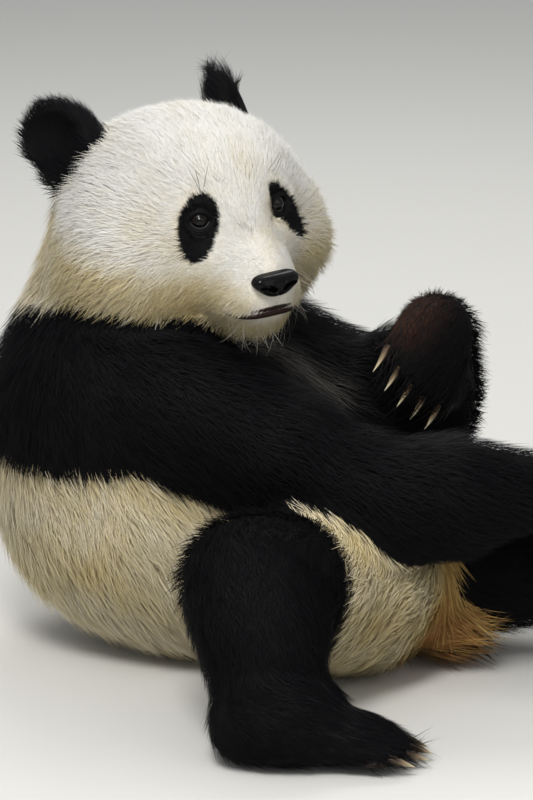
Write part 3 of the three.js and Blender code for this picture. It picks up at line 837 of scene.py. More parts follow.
# Grey hair is among the black of the chest and the pale of brow, jowls and muzzle, brown hair at the raised wrist.
def coloursOfCoat():
    local = toHead(skinPoints)
    black = spread(isPart(*blackParts).astype(float), skinEdges, 8)
    warm = np.full(len(skinPoints), colouring["warmthElsewhere"])
    for name, warmth in colouring["warmth"].items():
        warm[isPart(name)] = warmth
    warm = spread(warm, skinEdges, 40)
    onFace = isPart("head", "lips")
    cheek = smoothStep(0.03, 0.12, np.abs(local[:, 0])) * smoothStep(0.03, -0.09, local[:, 2])
    jowl = atJowl(local)
    chin = smoothStep(-0.092, -0.108, local[:, 2]) * smoothStep(-0.02, -0.07, local[:, 1])
    chin *= smoothStep(0.055, 0.030, np.abs(local[:, 0]))
    gain = colouring["cheek"] * cheek + colouring["jowl"] * jowl + colouring["chin"] * chin
    warm += np.where(onFace, gain, 0)
    aboveNose = np.linalg.norm((local - (0, -0.165, -0.029)) / (0.022, 0.014, 0.010), axis=1)
    warm -= colouring["aboveNose"] * np.exp(-(aboveNose ** 2))
    warm = np.where(onFace, np.minimum(warm, colouring["faceMost"]), warm)
    nearTail = np.linalg.norm(skinPoints - np.array(tailCore["middle"]), axis=1)
    warm = np.maximum(warm, colouring["underTail"] * smoothStep(0.15, 0.07, nearTail))
    warm += 0.10 * waves(skinPoints, 0.07, 9) + 0.05 * waves(skinPoints, 0.02, 10)
    grey = np.exp(-((awayFrom(skinPoints, chestGrey) / chestGrey["radius"]) ** 2))
    brow = np.linalg.norm((local - browGrey["middle"]) / browGrey["radii"], axis=1)
    grey = np.maximum(grey, browGrey["most"] * np.exp(-(brow ** 2)))
    atMouth = smoothStep(0.024, 0.006, np.abs(local[:, 2] + 0.080)) * smoothStep(-0.10, -0.14, local[:, 1])
    bridge = smoothStep(-0.125, -0.160, local[:, 1]) * smoothStep(0.05, 0.02, np.abs(local[:, 0]))
    for most, share in (("greyMouth", atMouth), ("greyJowl", jowl), ("greyBridge", bridge)):
        grey = np.maximum(grey, colouring[most] * share * onFace)
    wrist = np.exp(-((awayFrom(skinPoints, wristBrown) / wristBrown["radius"]) ** 2))
    return black, np.clip(warm, 0, 1), np.clip(grey, 0, 1), np.clip(wrist, 0, 1)


# The hair is a few times as long as the coat is deep, with lengths of its own on ears, paws, toes, chin and jowls.
def lengthOfCoat():
    local = toHead(skinPoints)
    length = skinDepth * coat["lengthOfDepth"]
    length[isPart("ear_right", "ear_left")] *= coat["earLength"] / coat["lengthOfDepth"]
    length[isPart(*pawNames)] *= coat["pawLength"] / coat["lengthOfDepth"]
    onFarEar = isPart("ear_left")
    swept = (local - local[onFarEar].mean(axis=0)) @ unit(coat["farEarLean"])
    least, more = coat["farEarLength"]
    length[onFarEar] *= (least + more * smoothStep(-0.006, 0.036, swept))[onFarEar]
    for limb, most in coat["toeLength"].items():
        toes = np.array([centre(name) for name in nodes if name.startswith(limb + "_claw_")])
        toToes = np.min([np.linalg.norm(skinPoints - toe, axis=1) for toe in toes], axis=0)
        onLimb = isPart(*[name for name in pawNames if name.startswith(limb)])
        length[onLimb] *= (1 + (most - 1) * smoothStep(0.055, 0.025, toToes))[onLimb]
    onFace = isPart("head", "lips")
    chin = smoothStep(-0.088, -0.106, local[:, 2]) * smoothStep(-0.02, -0.07, local[:, 1]) * onFace
    length += coat["chinLength"] * chin
    length += coat["jowlLength"] * atJowl(local) * onFace
    length[isPart("hand_left")] *= coat["raisedPawLength"]
    length = spread(length, skinEdges, 6) * (1 + 0.10 * waves(skinPoints, 0.05, 12))
    length *= 0.55 + 0.45 * skinSteady
    return length * (0.45 + 0.55 * smoothStep(0.030, 0.070, awayFrom(skinPoints, wristBrown)))


skinLie, skinSteady = lieOfCoat()
skinBlack, skinWarm, skinGrey, skinWrist = coloursOfCoat()
skinLength = lengthOfCoat()
report("lie, length and colour of the coat")

# The unwrap that the skin and the tufts share.


def unwrapSkin():
    skin.data.uv_layers.new(name="OFBake")
    makeActive(skin)
    bpy.ops.object.mode_set(mode="EDIT")
    bpy.ops.mesh.select_all(action="SELECT")
    bpy.ops.uv.smart_project(angle_limit=math.radians(66), island_margin=0.002)
    bpy.ops.object.mode_set(mode="OBJECT")
    flat = np.empty(len(skin.data.loops) * 2)
    skin.data.uv_layers["OFBake"].data.foreach_get("uv", flat)
    loops = np.empty(len(skinTriangles) * 3, int)
    skin.data.calc_loop_triangles()
    skin.data.loop_triangles.foreach_get("loops", loops)
    return flat.reshape(-1, 2)[loops].reshape(-1, 3, 2)


skinUnwrap = unwrapSkin()
report("skin unwrapped")

# The tufts.


def atRoots(values, triangle, weights):
    values = np.asarray(values, float)
    corners = values[skinTriangles[triangle]]
    return np.einsum("nk,nk...->n...", weights, corners)


def triangleAreas():
    a, b, c = (skinPoints[skinTriangles[:, k]] for k in range(3))
    return np.linalg.norm(np.cross(b - a, c - a), axis=1) / 2


mouth = {
    "at": (0.0, -0.104, -0.0835),
    "corner": 56.0,  # degrees to each side of the front
    "half": 0.060,
    "dip": -0.0008,
    "lip": 0.0038,  # half the height of each lip
    "roll": 0.0030,  # how far they stand out
    "sink": 0.0005,
    "points": 60,  # along it
    "around": 28,  # round the lips
    "colours": ("#0b0605", "#2a1711"),
    "creases": 700.0,  # per metre, so 1.4 mm apart
}
# where no hair grows: this near to an eye, in this egg over the nose pad, and along the mouth
bareSkin = {
    "eye": 0.0142,
    "nose": ((0, -0.178, -0.049), (0.0265, 0.022, 0.0112)),
    "mouthBelow": 0.0010,  # how far the middle of the bare strip is under the mouth
    "mouthHalf": (0.062, 0.0050),  # half its width and height
    "mouthFront": -0.12,  # it lies before this
}


def mouthHeight(x):
    return mouth["at"][2] - mouth["dip"] * np.cos(np.clip(x / mouth["half"], -1, 1) * math.pi)


def bareness(points):
    local = toHead(points)
    eye = np.linalg.norm(onLeft(local) - head["eyeAt"], axis=1) < bareSkin["eye"]
    middle, radii = bareSkin["nose"]
    pad = np.linalg.norm((local - middle) / radii, axis=1) < 1
    wide, high = bareSkin["mouthHalf"]
    line = np.abs(local[:, 2] - mouthHeight(local[:, 0]) + bareSkin["mouthBelow"]) < high
    return eye | pad | line & (local[:, 1] < bareSkin["mouthFront"]) & (np.abs(local[:, 0]) < wide)


def scatterRoots():
    area = triangleAreas()
    length = skinLength[skinTriangles].mean(axis=1)
    wide = coat["width"] + coat["widthOfLength"] * length
    black = skinBlack[skinTriangles].mean(axis=1)
    onHead = np.isin(skinParts[skinTriangles[:, 0]], partNumbers("head", "lips"))
    share = area / (length * wide) * (1.15 - 0.40 * np.clip(black, 0, 1)) * np.where(onHead, coat["headDensity"], 1)
    below = skinPoints[skinTriangles].mean(axis=1)[:, 2]
    share *= 0.35 + 0.65 * smoothStep(0.004, 0.03, below)
    cost = np.where(length < coat["shortUnder"], trianglesOf(coat["shortRings"]), trianglesOf(coat["rings"]))
    share *= 1 * coat["triangles"] / np.sum(share * cost)
    steps = np.cumsum(share) + random.uniform()
    counts = np.diff(np.floor(np.concatenate([[0], steps]))).astype(int)
    triangle = np.repeat(np.arange(len(area)), counts)
    spot = random.uniform(size=(len(triangle), 2))
    fold = spot.sum(axis=1) > 1
    spot[fold] = 1 - spot[fold]
    weights = np.column_stack([1 - spot.sum(axis=1), spot])
    keep = ~bareness(atRoots(skinPoints, triangle, weights)) & (atRoots(skinPads, triangle, weights) < 0.5)
    return triangle[keep], weights[keep]


# Pulls each tip towards the tip of the nearest of a thinner set of roots, so that the coat parts into locks.
def pulledTips(roots, tips, length, strength):
    leaders = np.flatnonzero(random.uniform(size=len(roots)) < coat["clumpShare"])
    nearest = leaders[nearestOf(roots[leaders], roots)]
    pull = tips[nearest] - tips
    reach = np.linalg.norm(pull, axis=1)
    most = 0.30 * length
    return pull * (strength * np.minimum(1, most / np.maximum(reach, 1e-9)))[:, None]


# Each tuft is a closed spindle: a point at its root, rings of three corners and a point at its tip.
def trianglesOf(rings):
    return 6 * len(rings)


def tuftMesh(name, tufts, rings):
    count = len(tufts["root"])
    lift = np.radians(coat["rootLift"]) * tufts["lift"]
    drop = lift - np.radians(coat["tipLift"])
    steps = np.array([0.0] + rings + [1.0])
    angle = lift[:, None] - drop[:, None] * steps
    forward = (np.sin(lift)[:, None] - np.sin(angle)) / drop[:, None]
    upward = (np.cos(angle) - np.cos(lift)[:, None]) / drop[:, None]
    length = tufts["length"][:, None, None]
    root, normal, lie = (tufts[key][:, None, :] for key in ("root", "normal", "lie"))
    side = np.cross(normal, lie)
    sway = (tufts["sway"][:, None] * steps ** 2)[:, :, None]
    line = root - coat["rootDepth"] * normal + length * (
        lie * forward[:, :, None] + normal * upward[:, :, None] + side * sway)
    line += tufts["pull"][:, None, :] * (steps ** 1.6)[None, :, None]
    outward = normal * np.cos(angle)[:, :, None] - lie * np.sin(angle)[:, :, None]
    middle = line[:, 1:-1]
    width = tufts["width"][:, None, None] * np.interp(rings, [0.2, 0.4, 0.8], [0.9, 1.0, 0.6])[None, :, None]
    corners = np.stack([middle - side * width, middle + side * width,
                        middle + outward[:, 1:-1] * width * 0.6], axis=2)
    points = np.concatenate([line[:, :1], corners.reshape(count, -1, 3), line[:, -1:]], axis=1)
    points[:, :, 2] = np.maximum(points[:, :, 2], coat["overFloor"])
    sides = ((0, 1), (1, 2), (2, 0))
    last = 3 * len(rings) - 2
    faces = [(0, 1 + two, 1 + one) for one, two in sides]
    for ring in range(1, last, 3):
        for one, two in sides:
            a, b, c, d = ring + one, ring + two, ring + 3 + two, ring + 3 + one
            faces += [(a, b, c), (a, c, d)]
    faces += [(last + one, last + two, last + 3) for one, two in sides]
    size = last + 4
    corners = (np.array(faces)[None] + size * np.arange(count)[:, None, None]).reshape(-1)
    own = np.stack([-side, side, normal], axis=2) + np.zeros((1, len(rings), 1, 1))
    own = np.concatenate([normal, own.reshape(count, -1, 3), normal], axis=1)
    soft = unit(own * tufts["cup"][:, None, None] + normal * 0.8 + lie * 0.10)
    along = np.concatenate([[0.0], np.repeat(rings, 3), [1.0]])
    across = np.concatenate([[0.5], np.tile([0.0, 1.0, 0.5], len(rings)), [0.5]])
    mesh = bpy.data.meshes.new(name)
    mesh.vertices.add(count * size)
    mesh.vertices.foreach_set("co", points.ravel())
    mesh.loops.add(len(corners))
    mesh.loops.foreach_set("vertex_index", corners)
    mesh.polygons.add(len(corners) // 3)
    mesh.polygons.foreach_set("loop_start", np.arange(0, len(corners), 3))
    mesh.update(calc_edges=True)
    mesh.attributes.new("custom_normal", "FLOAT_VECTOR", "POINT").data.foreach_set("vector", soft.ravel())
    fields = {"along": np.tile(along, count), "across": np.tile(across, count)}
    for key in ("tone", "warm", "grey", "rust"):
        fields[key] = np.repeat(tufts[key], size)
    for key, values in fields.items():
        mesh.attributes.new(key, "FLOAT", "POINT").data.foreach_set("value", values)
    flat = np.repeat(tufts["unwrap"], size, axis=0)
    flat += 0.003 * (np.tile(np.column_stack([across, along]), (count, 1)) - 0.5)
    mesh.uv_layers.new(name="OFBake").data.foreach_set("uv", np.clip(flat, 0, 1)[corners].ravel())
    return mesh


headParts = ["head", "lips", "eye_patch_right", "eye_patch_left", "ear_right", "ear_left"]
frontParts = ["neck", "chest"] + [f"{limb}_{side}" for limb in ("upper_arm", "forearm", "hand")
                                  for side in ("right", "left")]
# each piece of the coat: its slot, and the parts it covers, where None is all that is left of its colour
coatPieces = {
    "face_coat": ("coat_white", headParts),
    "neck_coat": ("coat_white", frontParts),
    "belly_coat": ("coat_white", ["belly"]),
    "tail_coat": ("coat_brown", ["tail"]),
    "rump_coat": ("coat_tan", None),
    "head_marks_coat": ("coat_black", headParts),
    "arms_coat": ("coat_black", frontParts),
    "legs_coat": ("coat_black", None),
}


def newPiece(name, mesh):
    piece = bpy.data.objects.new(name, mesh)
    scene.collection.objects.link(piece)
    return piece


def addTufts(name, slot, tufts, rings):
    piece = newPiece(name, tuftMesh(name, tufts, rings))
    piece.data.materials.append(blackHair if slot == "coat_black" else paleHair)
    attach(piece, "root")


# Shares tufts out over pieces from front to back, each of fewer triangles than the export thins.
def addCoatPieces(name, slot, tufts, chosen, rings):
    chosen = np.flatnonzero(chosen)
    if len(chosen) == 0:
        return
    chosen = chosen[np.argsort(tufts["root"][chosen, 1])]
    for number, some in enumerate(np.array_split(chosen, math.ceil(len(chosen) * trianglesOf(rings) / 190000))):
        addTufts(f"{name}_{number + 1}", slot, {key: values[some] for key, values in tufts.items()}, rings)


def growCoat():
    triangle, weights = scatterRoots()
    root = atRoots(skinPoints, triangle, weights)
    normal = unit(atRoots(skinNormals, triangle, weights))
    lie = alongSkin(atRoots(skinLie, triangle, weights), normal)
    count = len(root)
    length = atRoots(skinLength, triangle, weights)
    width = (coat["width"] + coat["widthOfLength"] * length) * random.uniform(0.8, 1.2, count)
    part = skinParts[skinTriangles[triangle, 0]]
    onHead = np.isin(part, partNumbers("head", "lips"))
    width[onHead] *= coat["headWidth"]
    # a tuft takes its colour from the place that its outer half covers
    covers = root + lie * length[:, None] * 0.6
    under = nearestOf(skinPoints, covers)
    black = blackness(covers, toHead(covers), skinBlack[under])
    dark = black > 0.5
    short = length < coat["shortUnder"]
    aside = random.normal(0, 1, count) * np.where(onHead, coat["headTurn"], coat["turn"])
    tufts = {
        "root": root,
        "normal": normal,
        "lie": unit(lie + np.cross(normal, lie) * aside[:, None]),
        "length": length * np.clip(random.normal(1, coat["vary"], count), 0.45, 1.5),
        "width": width,
        "lift": np.clip(random.normal(1, 0.18, count), 0.6, 1.5) * np.interp(length, [0.005, 0.03], [0.62, 1])
        * np.where(np.isin(part, partNumbers(*pawNames)), coat["pawLift"], 1)
        * np.where(np.isin(part, partNumbers("hand_left")), coat["raisedPawLift"], 1),
        "sway": random.normal(0, 0.10, count),
        "cup": np.where(dark, 0.38, 0.22),
        "tone": random.uniform(0, 1, count),
        "warm": np.clip(skinWarm[under] + random.normal(0, 0.05, count), 0, 1),
        "grey": skinGrey[under] * random.uniform(0, 1, count) ** np.where(dark, 0.5, 1.8),
        "rust": skinWrist[under] * random.uniform(0.3, 0.6, count),
        "unwrap": np.einsum("nk,nkd->nd", weights, skinUnwrap[triangle]),
    }
    tips = root + tufts["lie"] * length[:, None] * 0.85 + normal * length[:, None] * 0.4
    tufts["pull"] = pulledTips(root, tips, length, np.where(onHead, coat["headClumpPull"], coat["clumpPull"]))
    taken = np.zeros(count, bool)
    for name, (slot, parts) in coatPieces.items():
        chosen = dark if slot == "coat_black" else ~dark
        chosen = chosen & (~taken if parts is None else np.isin(part, partNumbers(*parts)))
        taken |= chosen
        addCoatPieces(name, slot, tufts, chosen & ~short, coat["rings"])
        addCoatPieces(name + "_short", slot, tufts, chosen & short, coat["shortRings"])
    return count


# What the coat and the skin are made of.
hairColour = {
    # warmth of the pale hair, from the head's ivory to the red-brown under the tail
    "pale": [(0.0, "#f8f8f5"), (0.25, "#ebe1c8"), (0.5, "#ddcd9e"), (0.75, "#c9a965"), (1.0, "#9c693a")],
    # the colour of the painted shade at the roots of the tufts and on the skin between them
    "paintedRootShade": "#c4b598",
    "black": "#060607",
    # lighter, cooler streaks in the black hair: partly single hairs, partly painted sheen
    "blackStrandAndSheen": "#131316",
    "grey": "#6a6660",
    "rust": "#5c3822",
    "pad": "#2a211e",
}
hairFinish = {
    "lines": 4.0,  # across a tuft, so 0.2 to 0.4 mm apart: single hairs are near 0.1 mm and would not show
    "lineShare": 0.36,  # how much they tint the pale hair
    "paleTone": (0.87, 1.04),  # of the darkest and the lightest tuft
    "paleRoughness": 0.68,
    "paleSpecular": 0.25,
    # painted shade at the roots of the pale tufts and on the skin under them
    "paintedRootShade": 0.45,  # how much the root shade darkens the roots of the tufts, and the skin under them
    "paintedSkinShade": 0.55,
    "blackRoughness": (0.42, 0.60),
    "blackSpecular": 0.06,
    "wool": 420.0,  # per metre, so locks of the woolly hair 2.4 mm wide
}


# Fine lines along each tuft for the single hairs in it.
def strands(material):
    across = addNode(material, "Math", {0: "across", 1: hairFinish["lines"]}, operation="MULTIPLY")
    offset = addNode(material, "Math", {0: "tone", 1: 90.0}, operation="MULTIPLY")  # no two tufts alike
    place = addNode(material, "CombineXYZ", {"X": across, "Y": offset, "Z": "along"})
    return addNode(material, "TexNoise", {"Vector": place, "Scale": 1.0, "Detail": 2.0})


def makePaleHair():
    # The darker roots of this hair are painted shade, warm in tint, as down between the locks.
    material = newMaterial("paleGuardHair")  # coarse matt hair: soft, with warm shade down between the locks
    line = strands(material)
    colour = addNode(material, "ValToRGB", {"Fac": "warm"}, stops=hairColour["pale"])
    colour = addNode(material, "Mix", {0: "grey", 6: colour, 7: hairColour["grey"]}, **mixed)
    # painted shade: each tuft darkens towards its root
    atRoot = addNode(material, "MapRange", {"Value": "along", "To Min": hairFinish["paintedRootShade"], "To Max": 0.0})
    colour = addNode(material, "Mix", {0: atRoot, 6: colour, 7: hairColour["paintedRootShade"]}, **multiplied)
    tint = addNode(material, "CombineColor", {
        channel: addNode(material, "MapRange", {"Value": line, "To Min": low, "To Max": high})
        for channel, low, high in (("Red", 0.55, 1.25), ("Green", 0.55, 1.22), ("Blue", 0.5, 1.18))})
    colour = addNode(material, "Mix", {0: hairFinish["lineShare"], 6: colour, 7: tint}, **multiplied)
    darkest, lightest = hairFinish["paleTone"]
    shade = addNode(material, "MapRange", {"Value": "tone", "To Min": darkest, "To Max": lightest})
    colour = addNode(material, "Mix", {0: 1.0, 6: colour, 7: shade}, **multiplied)
    return finishMaterial(material, [(line, 0.35, 0.0006)], {
        "Base Color": colour, "Roughness": hairFinish["paleRoughness"],
        "Specular IOR Level": hairFinish["paleSpecular"]})


def makeBlackHair():
    material = newMaterial("blackGuardHair")  # glossier than the pale: cool streaks of light along the locks
    line = strands(material)
    # lighter, cooler streaks along the strands: partly single hairs, partly painted sheen
    strandSheenShare = addNode(material, "MapRange", {"Value": line, "To Min": 0.0, "To Max": 0.9})
    colour = addNode(material, "Mix", {0: strandSheenShare, 6: hairColour["black"], 7: hairColour["blackStrandAndSheen"]}, **mixed)
    colour = addNode(material, "Mix", {0: "grey", 6: colour, 7: hairColour["grey"]}, **mixed)
    colour = addNode(material, "Mix", {0: "rust", 6: colour, 7: hairColour["rust"]}, **mixed)
    least, most = hairFinish["blackRoughness"]
    roughness = addNode(material, "MapRange", {"Value": "tone", "To Min": least, "To Max": most})
    return finishMaterial(material, [(line, 0.5, 0.0006)], {
        "Base Color": colour, "Roughness": roughness, "Specular IOR Level": hairFinish["blackSpecular"]})


def makeSkinMaterial():
    material = newMaterial("underCoat")  # woolly hair close to the skin, seen only where the locks part
    colour = addNode(material, "ValToRGB", {"Fac": "warm"}, stops=hairColour["pale"])
    # painted shade: the whole skin is darkened, as down between the locks
    colour = addNode(material, "Mix", {
        0: hairFinish["paintedSkinShade"], 6: colour, 7: hairColour["paintedRootShade"]}, **multiplied)
    colour = addNode(material, "Mix", {0: "black", 6: colour, 7: hairColour["black"]}, **mixed)
    colour = addNode(material, "Mix", {0: "pad", 6: colour, 7: hairColour["pad"]}, **mixed)
    place = addNode(material, "TexCoord", {}, "Object")
    wool = addNode(material, "TexNoise", {"Vector": place, "Scale": hairFinish["wool"], "Detail": 4.0})
    return finishMaterial(material, [(wool, 0.6, 0.002)], {
        "Base Color": colour, "Roughness": 0.85, "Specular IOR Level": 0.2})


paleHair = makePaleHair()
blackHair = makeBlackHair()
skin.data.materials.append(makeSkinMaterial())
skin.data.shade_smooth()
skinDark = smoothStep(0.42, 0.58, blackness(skinPoints, toHead(skinPoints), skinBlack))
for key, values in {
        "warm": skinWarm, "black": skinDark, "grey": skinGrey, "rust": skinWrist, "pad": skinPads}.items():
    skin.data.attributes.new(key, "FLOAT", "POINT").data.foreach_set("value", values)
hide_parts(*bodyNames)
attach(skin, "root")
tuftCount = growCoat()
report(f"coat, {tuftCount} tufts")

# The pieces of the face and the claws.


# A closed mesh from rows of points, each once round: the rows meet end to end in a loop, or the ends are closed.
def rowMesh(name, rows, loop):
    rows = np.asarray(rows, float)
    count, around, _ = rows.shape
    faces = []
    for row in range(count if loop else count - 1):
        start, following = row * around, (row + 1) % count * around
        for k in range(around):
            nextK = (k + 1) % around
            faces.append((start + k, start + nextK, following + nextK, following + k))
    if not loop:
        faces += [tuple(reversed(range(around))), tuple(range((count - 1) * around, count * around))]
    mesh = bpy.data.meshes.new(name)
    mesh.from_pydata(rows.reshape(-1, 3).tolist(), [], faces)
    return newPiece(name, mesh)


def finishPiece(piece, material, fields=None):
    makeActive(piece)
    bpy.ops.object.mode_set(mode="EDIT")
    bpy.ops.mesh.select_all(action="SELECT")
    bpy.ops.mesh.normals_make_consistent(inside=False)
    bpy.ops.object.mode_set(mode="OBJECT")
    piece.data.shade_smooth()
    for key, values in (fields or {}).items():
        piece.data.attributes.new(key, "FLOAT", "POINT").data.foreach_set("value", np.asarray(values, float))
    piece.data.materials.clear()
    piece.data.materials.append(material)
    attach(piece, "root")


skinTree = BVHTree.FromPolygons(skinPoints.tolist(), skinTriangles.tolist())


# The skin's first point on a line that comes in from outside, or None.
def onSkin(start, way):
    hit, _, _, _ = skinTree.ray_cast(Vector(start), Vector(way))
    return None if hit is None else np.array(hit)


eyeLook = {
    # by the angle from the gaze as a share of a right angle: pupil, iris, its dark rim and the white in shade
    "colours": [(0.0, "#010101"), (0.13, "#010101"), (0.17, "#0b0604"), (0.34, "#090504"), (0.42, "#020202"),
                (0.52, "#1c1613"), (1.0, "#2c2320")],
    "fibreColour": "#050403",
    "fibres": 1800.0,  # per metre, so 0.6 mm wide: real ones are finer and would not show
    "wetness": 0.72,
    "wetIndex": 1.38,
    "lidColours": [(0.0, "#050505"), (0.45, "#0b0909"), (0.8, "#2e2927"), (1.0, "#8d8c8e")],  # out to their edge
    "lidCreases": 900.0,  # per metre, so 1.1 mm apart
    "lidRoughness": (0.62, 0.25),  # dry, and at the moist edge
}


def makeEyeMaterial():
    material = newMaterial("wetCornea")  # clear and wet: one sharp light over a brown iris that is nearly black
    place = addNode(material, "TexCoord", {}, "Object")
    iris = addNode(material, "ValToRGB", {"Fac": "fromGaze"}, stops=eyeLook["colours"])
    fibres = addNode(material, "TexNoise", {"Vector": place, "Scale": eyeLook["fibres"], "Detail": 3.0})
    share = addNode(material, "MapRange", {"Value": fibres, "To Min": 0.0, "To Max": 0.5})
    colour = addNode(material, "Mix", {0: share, 6: iris, 7: eyeLook["fibreColour"]}, **mixed)
    return finishMaterial(material, [], {
        "Base Color": colour, "Roughness": 0.25, "Specular IOR Level": 0.03,
        "Coat Weight": eyeLook["wetness"], "Coat Roughness": 0.02, "Coat IOR": eyeLook["wetIndex"]})


def makeLidMaterial():
    material = newMaterial("lidSkin")  # thin dark skin with fine creases, moist and paler along its edge
    place = addNode(material, "TexCoord", {}, "Object")
    creases = addNode(material, "TexNoise", {"Vector": place, "Scale": eyeLook["lidCreases"], "Detail": 4.0})
    colour = addNode(material, "ValToRGB", {"Fac": "rim"}, stops=eyeLook["lidColours"])
    dry, moist = eyeLook["lidRoughness"]
    roughness = addNode(material, "MapRange", {"Value": "rim", "To Min": dry, "To Max": moist})
    return finishMaterial(material, [(creases, 0.5, 0.0004)], {
        "Base Color": colour, "Roughness": roughness, "Specular IOR Level": 0.12})


def makeEye(side, name):
    axes = np.array(eyeAxes(side))
    deselectAll()
    bpy.ops.mesh.primitive_uv_sphere_add(segments=56, ring_count=36, radius=1.0)
    globe = bpy.context.object
    globe.name = f"eyeball_{name}"
    points, _, _ = meshArrays(globe.data)
    way = unit(points)
    turn = np.degrees(np.arccos(np.clip(way[:, 2], -1, 1)))
    radius = eyes["radius"] + eyes["cornea"] * smoothStep(eyes["corneaAngle"], 0.3 * eyes["corneaAngle"], turn)
    setPoints(globe, eyeAt(side) + (way * radius[:, None]) @ axes)
    finishPiece(globe, wetCornea, {"fromGaze": turn / 90})
    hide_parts(f"eye_{name}")


# Both lids of an eye as one ring: its edge on the eyeball, its outer side sunk in the skin.
def makeLids(side, name):
    across, up, out = eyeAxes(side)
    turns = np.linspace(0, 2 * math.pi, 96, endpoint=False)
    wide, above, below = eyes["opening"]
    rise = np.sin(turns)
    edge = np.column_stack([wide * np.cos(turns),
                            np.where(rise > 0, above, below) * rise * np.abs(rise) ** eyes["pointed"]])
    outer = eyes["reach"] * np.column_stack([np.cos(turns), rise])
    ball = eyes["radius"]

    def overBall(flat, radius):
        return np.sqrt(np.maximum(radius ** 2 - np.sum(flat ** 2, axis=1), 0))

    def placed(flat, height):
        return eyeAt(side) + flat[:, :1] * across + flat[:, 1:] * up + np.asarray(height)[:, None] * out

    skinHeight = []
    for flat in outer:
        start = eyeAt(side) + flat[0] * across + flat[1] * up + 0.05 * out
        hit = onSkin(start, -out)
        skinHeight.append(0.0 if hit is None else float(np.dot(hit - eyeAt(side), out)))
    skinHeight = np.array(skinHeight)
    for _ in range(6):
        skinHeight = (np.roll(skinHeight, 1) + skinHeight + np.roll(skinHeight, -1)) / 3
    edgeHeight = overBall(edge, ball + 0.0010)
    grown = edge * (1 + 0.0005 / np.linalg.norm(edge, axis=1))[:, None]
    rows = [placed(edge, overBall(edge, ball - 0.0005)), placed(edge, overBall(edge, ball + 0.0003)),
            placed(grown, overBall(grown, ball + 0.0009))]
    rims = [1.0, 0.95, 0.5]
    lower = smoothStep(0.25, -0.35, rise)
    for part in np.linspace(0.10, 1.0, 16):
        flat = edge * (1 - part) + outer * part
        share = smoothStep(0.1, 1.0, part)
        height = edgeHeight * (1 - share) + (skinHeight - 0.0006) * share
        height = height + eyes["bulge"] * math.sin(math.pi * min(part * 1.1, 1)) * (0.6 + 0.4 * (rise > 0))
        height += eyes["foldHeight"] * math.sin(part * 3.2 * 2 * math.pi) * math.sin(math.pi * part)
        rows.append(placed(flat, np.maximum(height, overBall(flat, ball + 0.0008))))
        rims.append(0.2 * max(0.0, 1 - part * 5))
    rows.append(placed(outer, skinHeight - 0.004))
    rows.append(placed(edge * 1.08, overBall(edge, ball - 0.0015) - 0.0012))
    rims += [0.0, 0.0]
    lids = rowMesh(f"eyelids_{name}", rows, True)
    band = np.array(rows[5:19])  # short dark hair grows on the lids outside their edge
    hairs = eyes["lidHairs"]
    picks = random.integers(0, len(band) - 1, hairs), random.integers(0, len(turns), hairs)
    spot = random.uniform(size=(hairs, 2, 1))
    here = band[picks]
    root = here + (band[picks[0] + 1, picks[1]] - here) * spot[:, 0]
    root += (band[picks[0], (picks[1] + 1) % len(turns)] - here) * spot[:, 1]
    away = unit(root - eyeAt(side) - (root - eyeAt(side)) @ out[:, None] * out)
    shortest, more = eyes["lidHairLength"]
    hairLength = shortest + more * picks[0] / len(band)
    lidHair.append((root, unit(root - eyeAt(side) + out * 0.004), away + 0.25 * up, hairLength))
    rim = np.array(rims)[:, None] * (0.45 + 0.55 * lower)[None]
    finishPiece(lids, lidSkin, {"rim": rim.ravel()})
    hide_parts(f"lid_{name}")


nose = {
    "at": (0.0, -0.1805, -0.0490),
    "radii": (0.0300, 0.0125, 0.0140),
    "square": 2.9,  # how boxed its outline is: 2 is an egg
    "narrow": 0.42,  # how much narrower it is at the bottom
    "corners": 0.12,  # how far the ends of its upper edge rise, of its half height
    # points along each nostril, across and up from the middle of the pad, with its half width there
    "nostril": [(0.0060, -0.0040, 0.0024), (0.0105, -0.0014, 0.0032), (0.0165, 0.0008, 0.0024),
                (0.0230, 0.0004, 0.0013)],
    "nostrilDepth": 0.0080,
    "wing": 0.0010,  # how far the wings of the nostrils stand out
    "groove": (0.0009, 0.0016),  # half the width and the depth of the furrow down the middle
    # the second colour is painted shade, darker down in the nostrils' pits
    "colours": ("#050505", "#010101"),  # of the pad and down in its nostrils
    "pebbles": 520.0,  # per metre, so 1.9 mm wide, with a grain of 0.4 mm on them
    "grain": 2600.0,
    "roughness": (0.40, 0.62),
    "wetness": 0.25,
}


def makeNoseMaterial():
    material = newMaterial("nosePad")  # moist pebbled skin: small cells that break the light up
    place = addNode(material, "TexCoord", {}, "Object")
    cells = addNode(material, "TexVoronoi", {"Vector": place, "Scale": nose["pebbles"]}, feature="DISTANCE_TO_EDGE")
    pebbles = addNode(material, "Math", {0: cells, 1: 2.2}, operation="MULTIPLY")
    grain = addNode(material, "TexNoise", {"Vector": place, "Scale": nose["grain"], "Detail": 2.0})
    outside, inside = nose["colours"]
    # painted shade: darker down in the nostrils' pits
    colour = addNode(material, "Mix", {0: "pit", 6: outside, 7: inside}, **mixed)
    least, most = nose["roughness"]
    roughness = addNode(material, "MapRange", {"Value": grain, "To Min": least, "To Max": most})
    return finishMaterial(material, [(pebbles, 1.0, 0.0014), (grain, 0.15, 0.0002)], {
        "Base Color": colour, "Roughness": roughness, "Specular IOR Level": 0.07,
        "Coat Weight": nose["wetness"], "Coat Roughness": 0.09})


# Distance from the line of a nostril, over its half width there.
def fromNostril(x, z):
    best = np.full(len(x), 9.0)
    for (x0, z0, w0), (x1, z1, w1) in zip(nose["nostril"], nose["nostril"][1:]):
        way = np.array((x1 - x0, z1 - z0))
        part = np.clip(((x - x0) * way[0] + (z - z0) * way[1]) / np.dot(way, way), 0, 1)
        gap = np.hypot(x - x0 - part * way[0], z - z0 - part * way[1])
        best = np.minimum(best, gap / (w0 + part * (w1 - w0)))
    return best


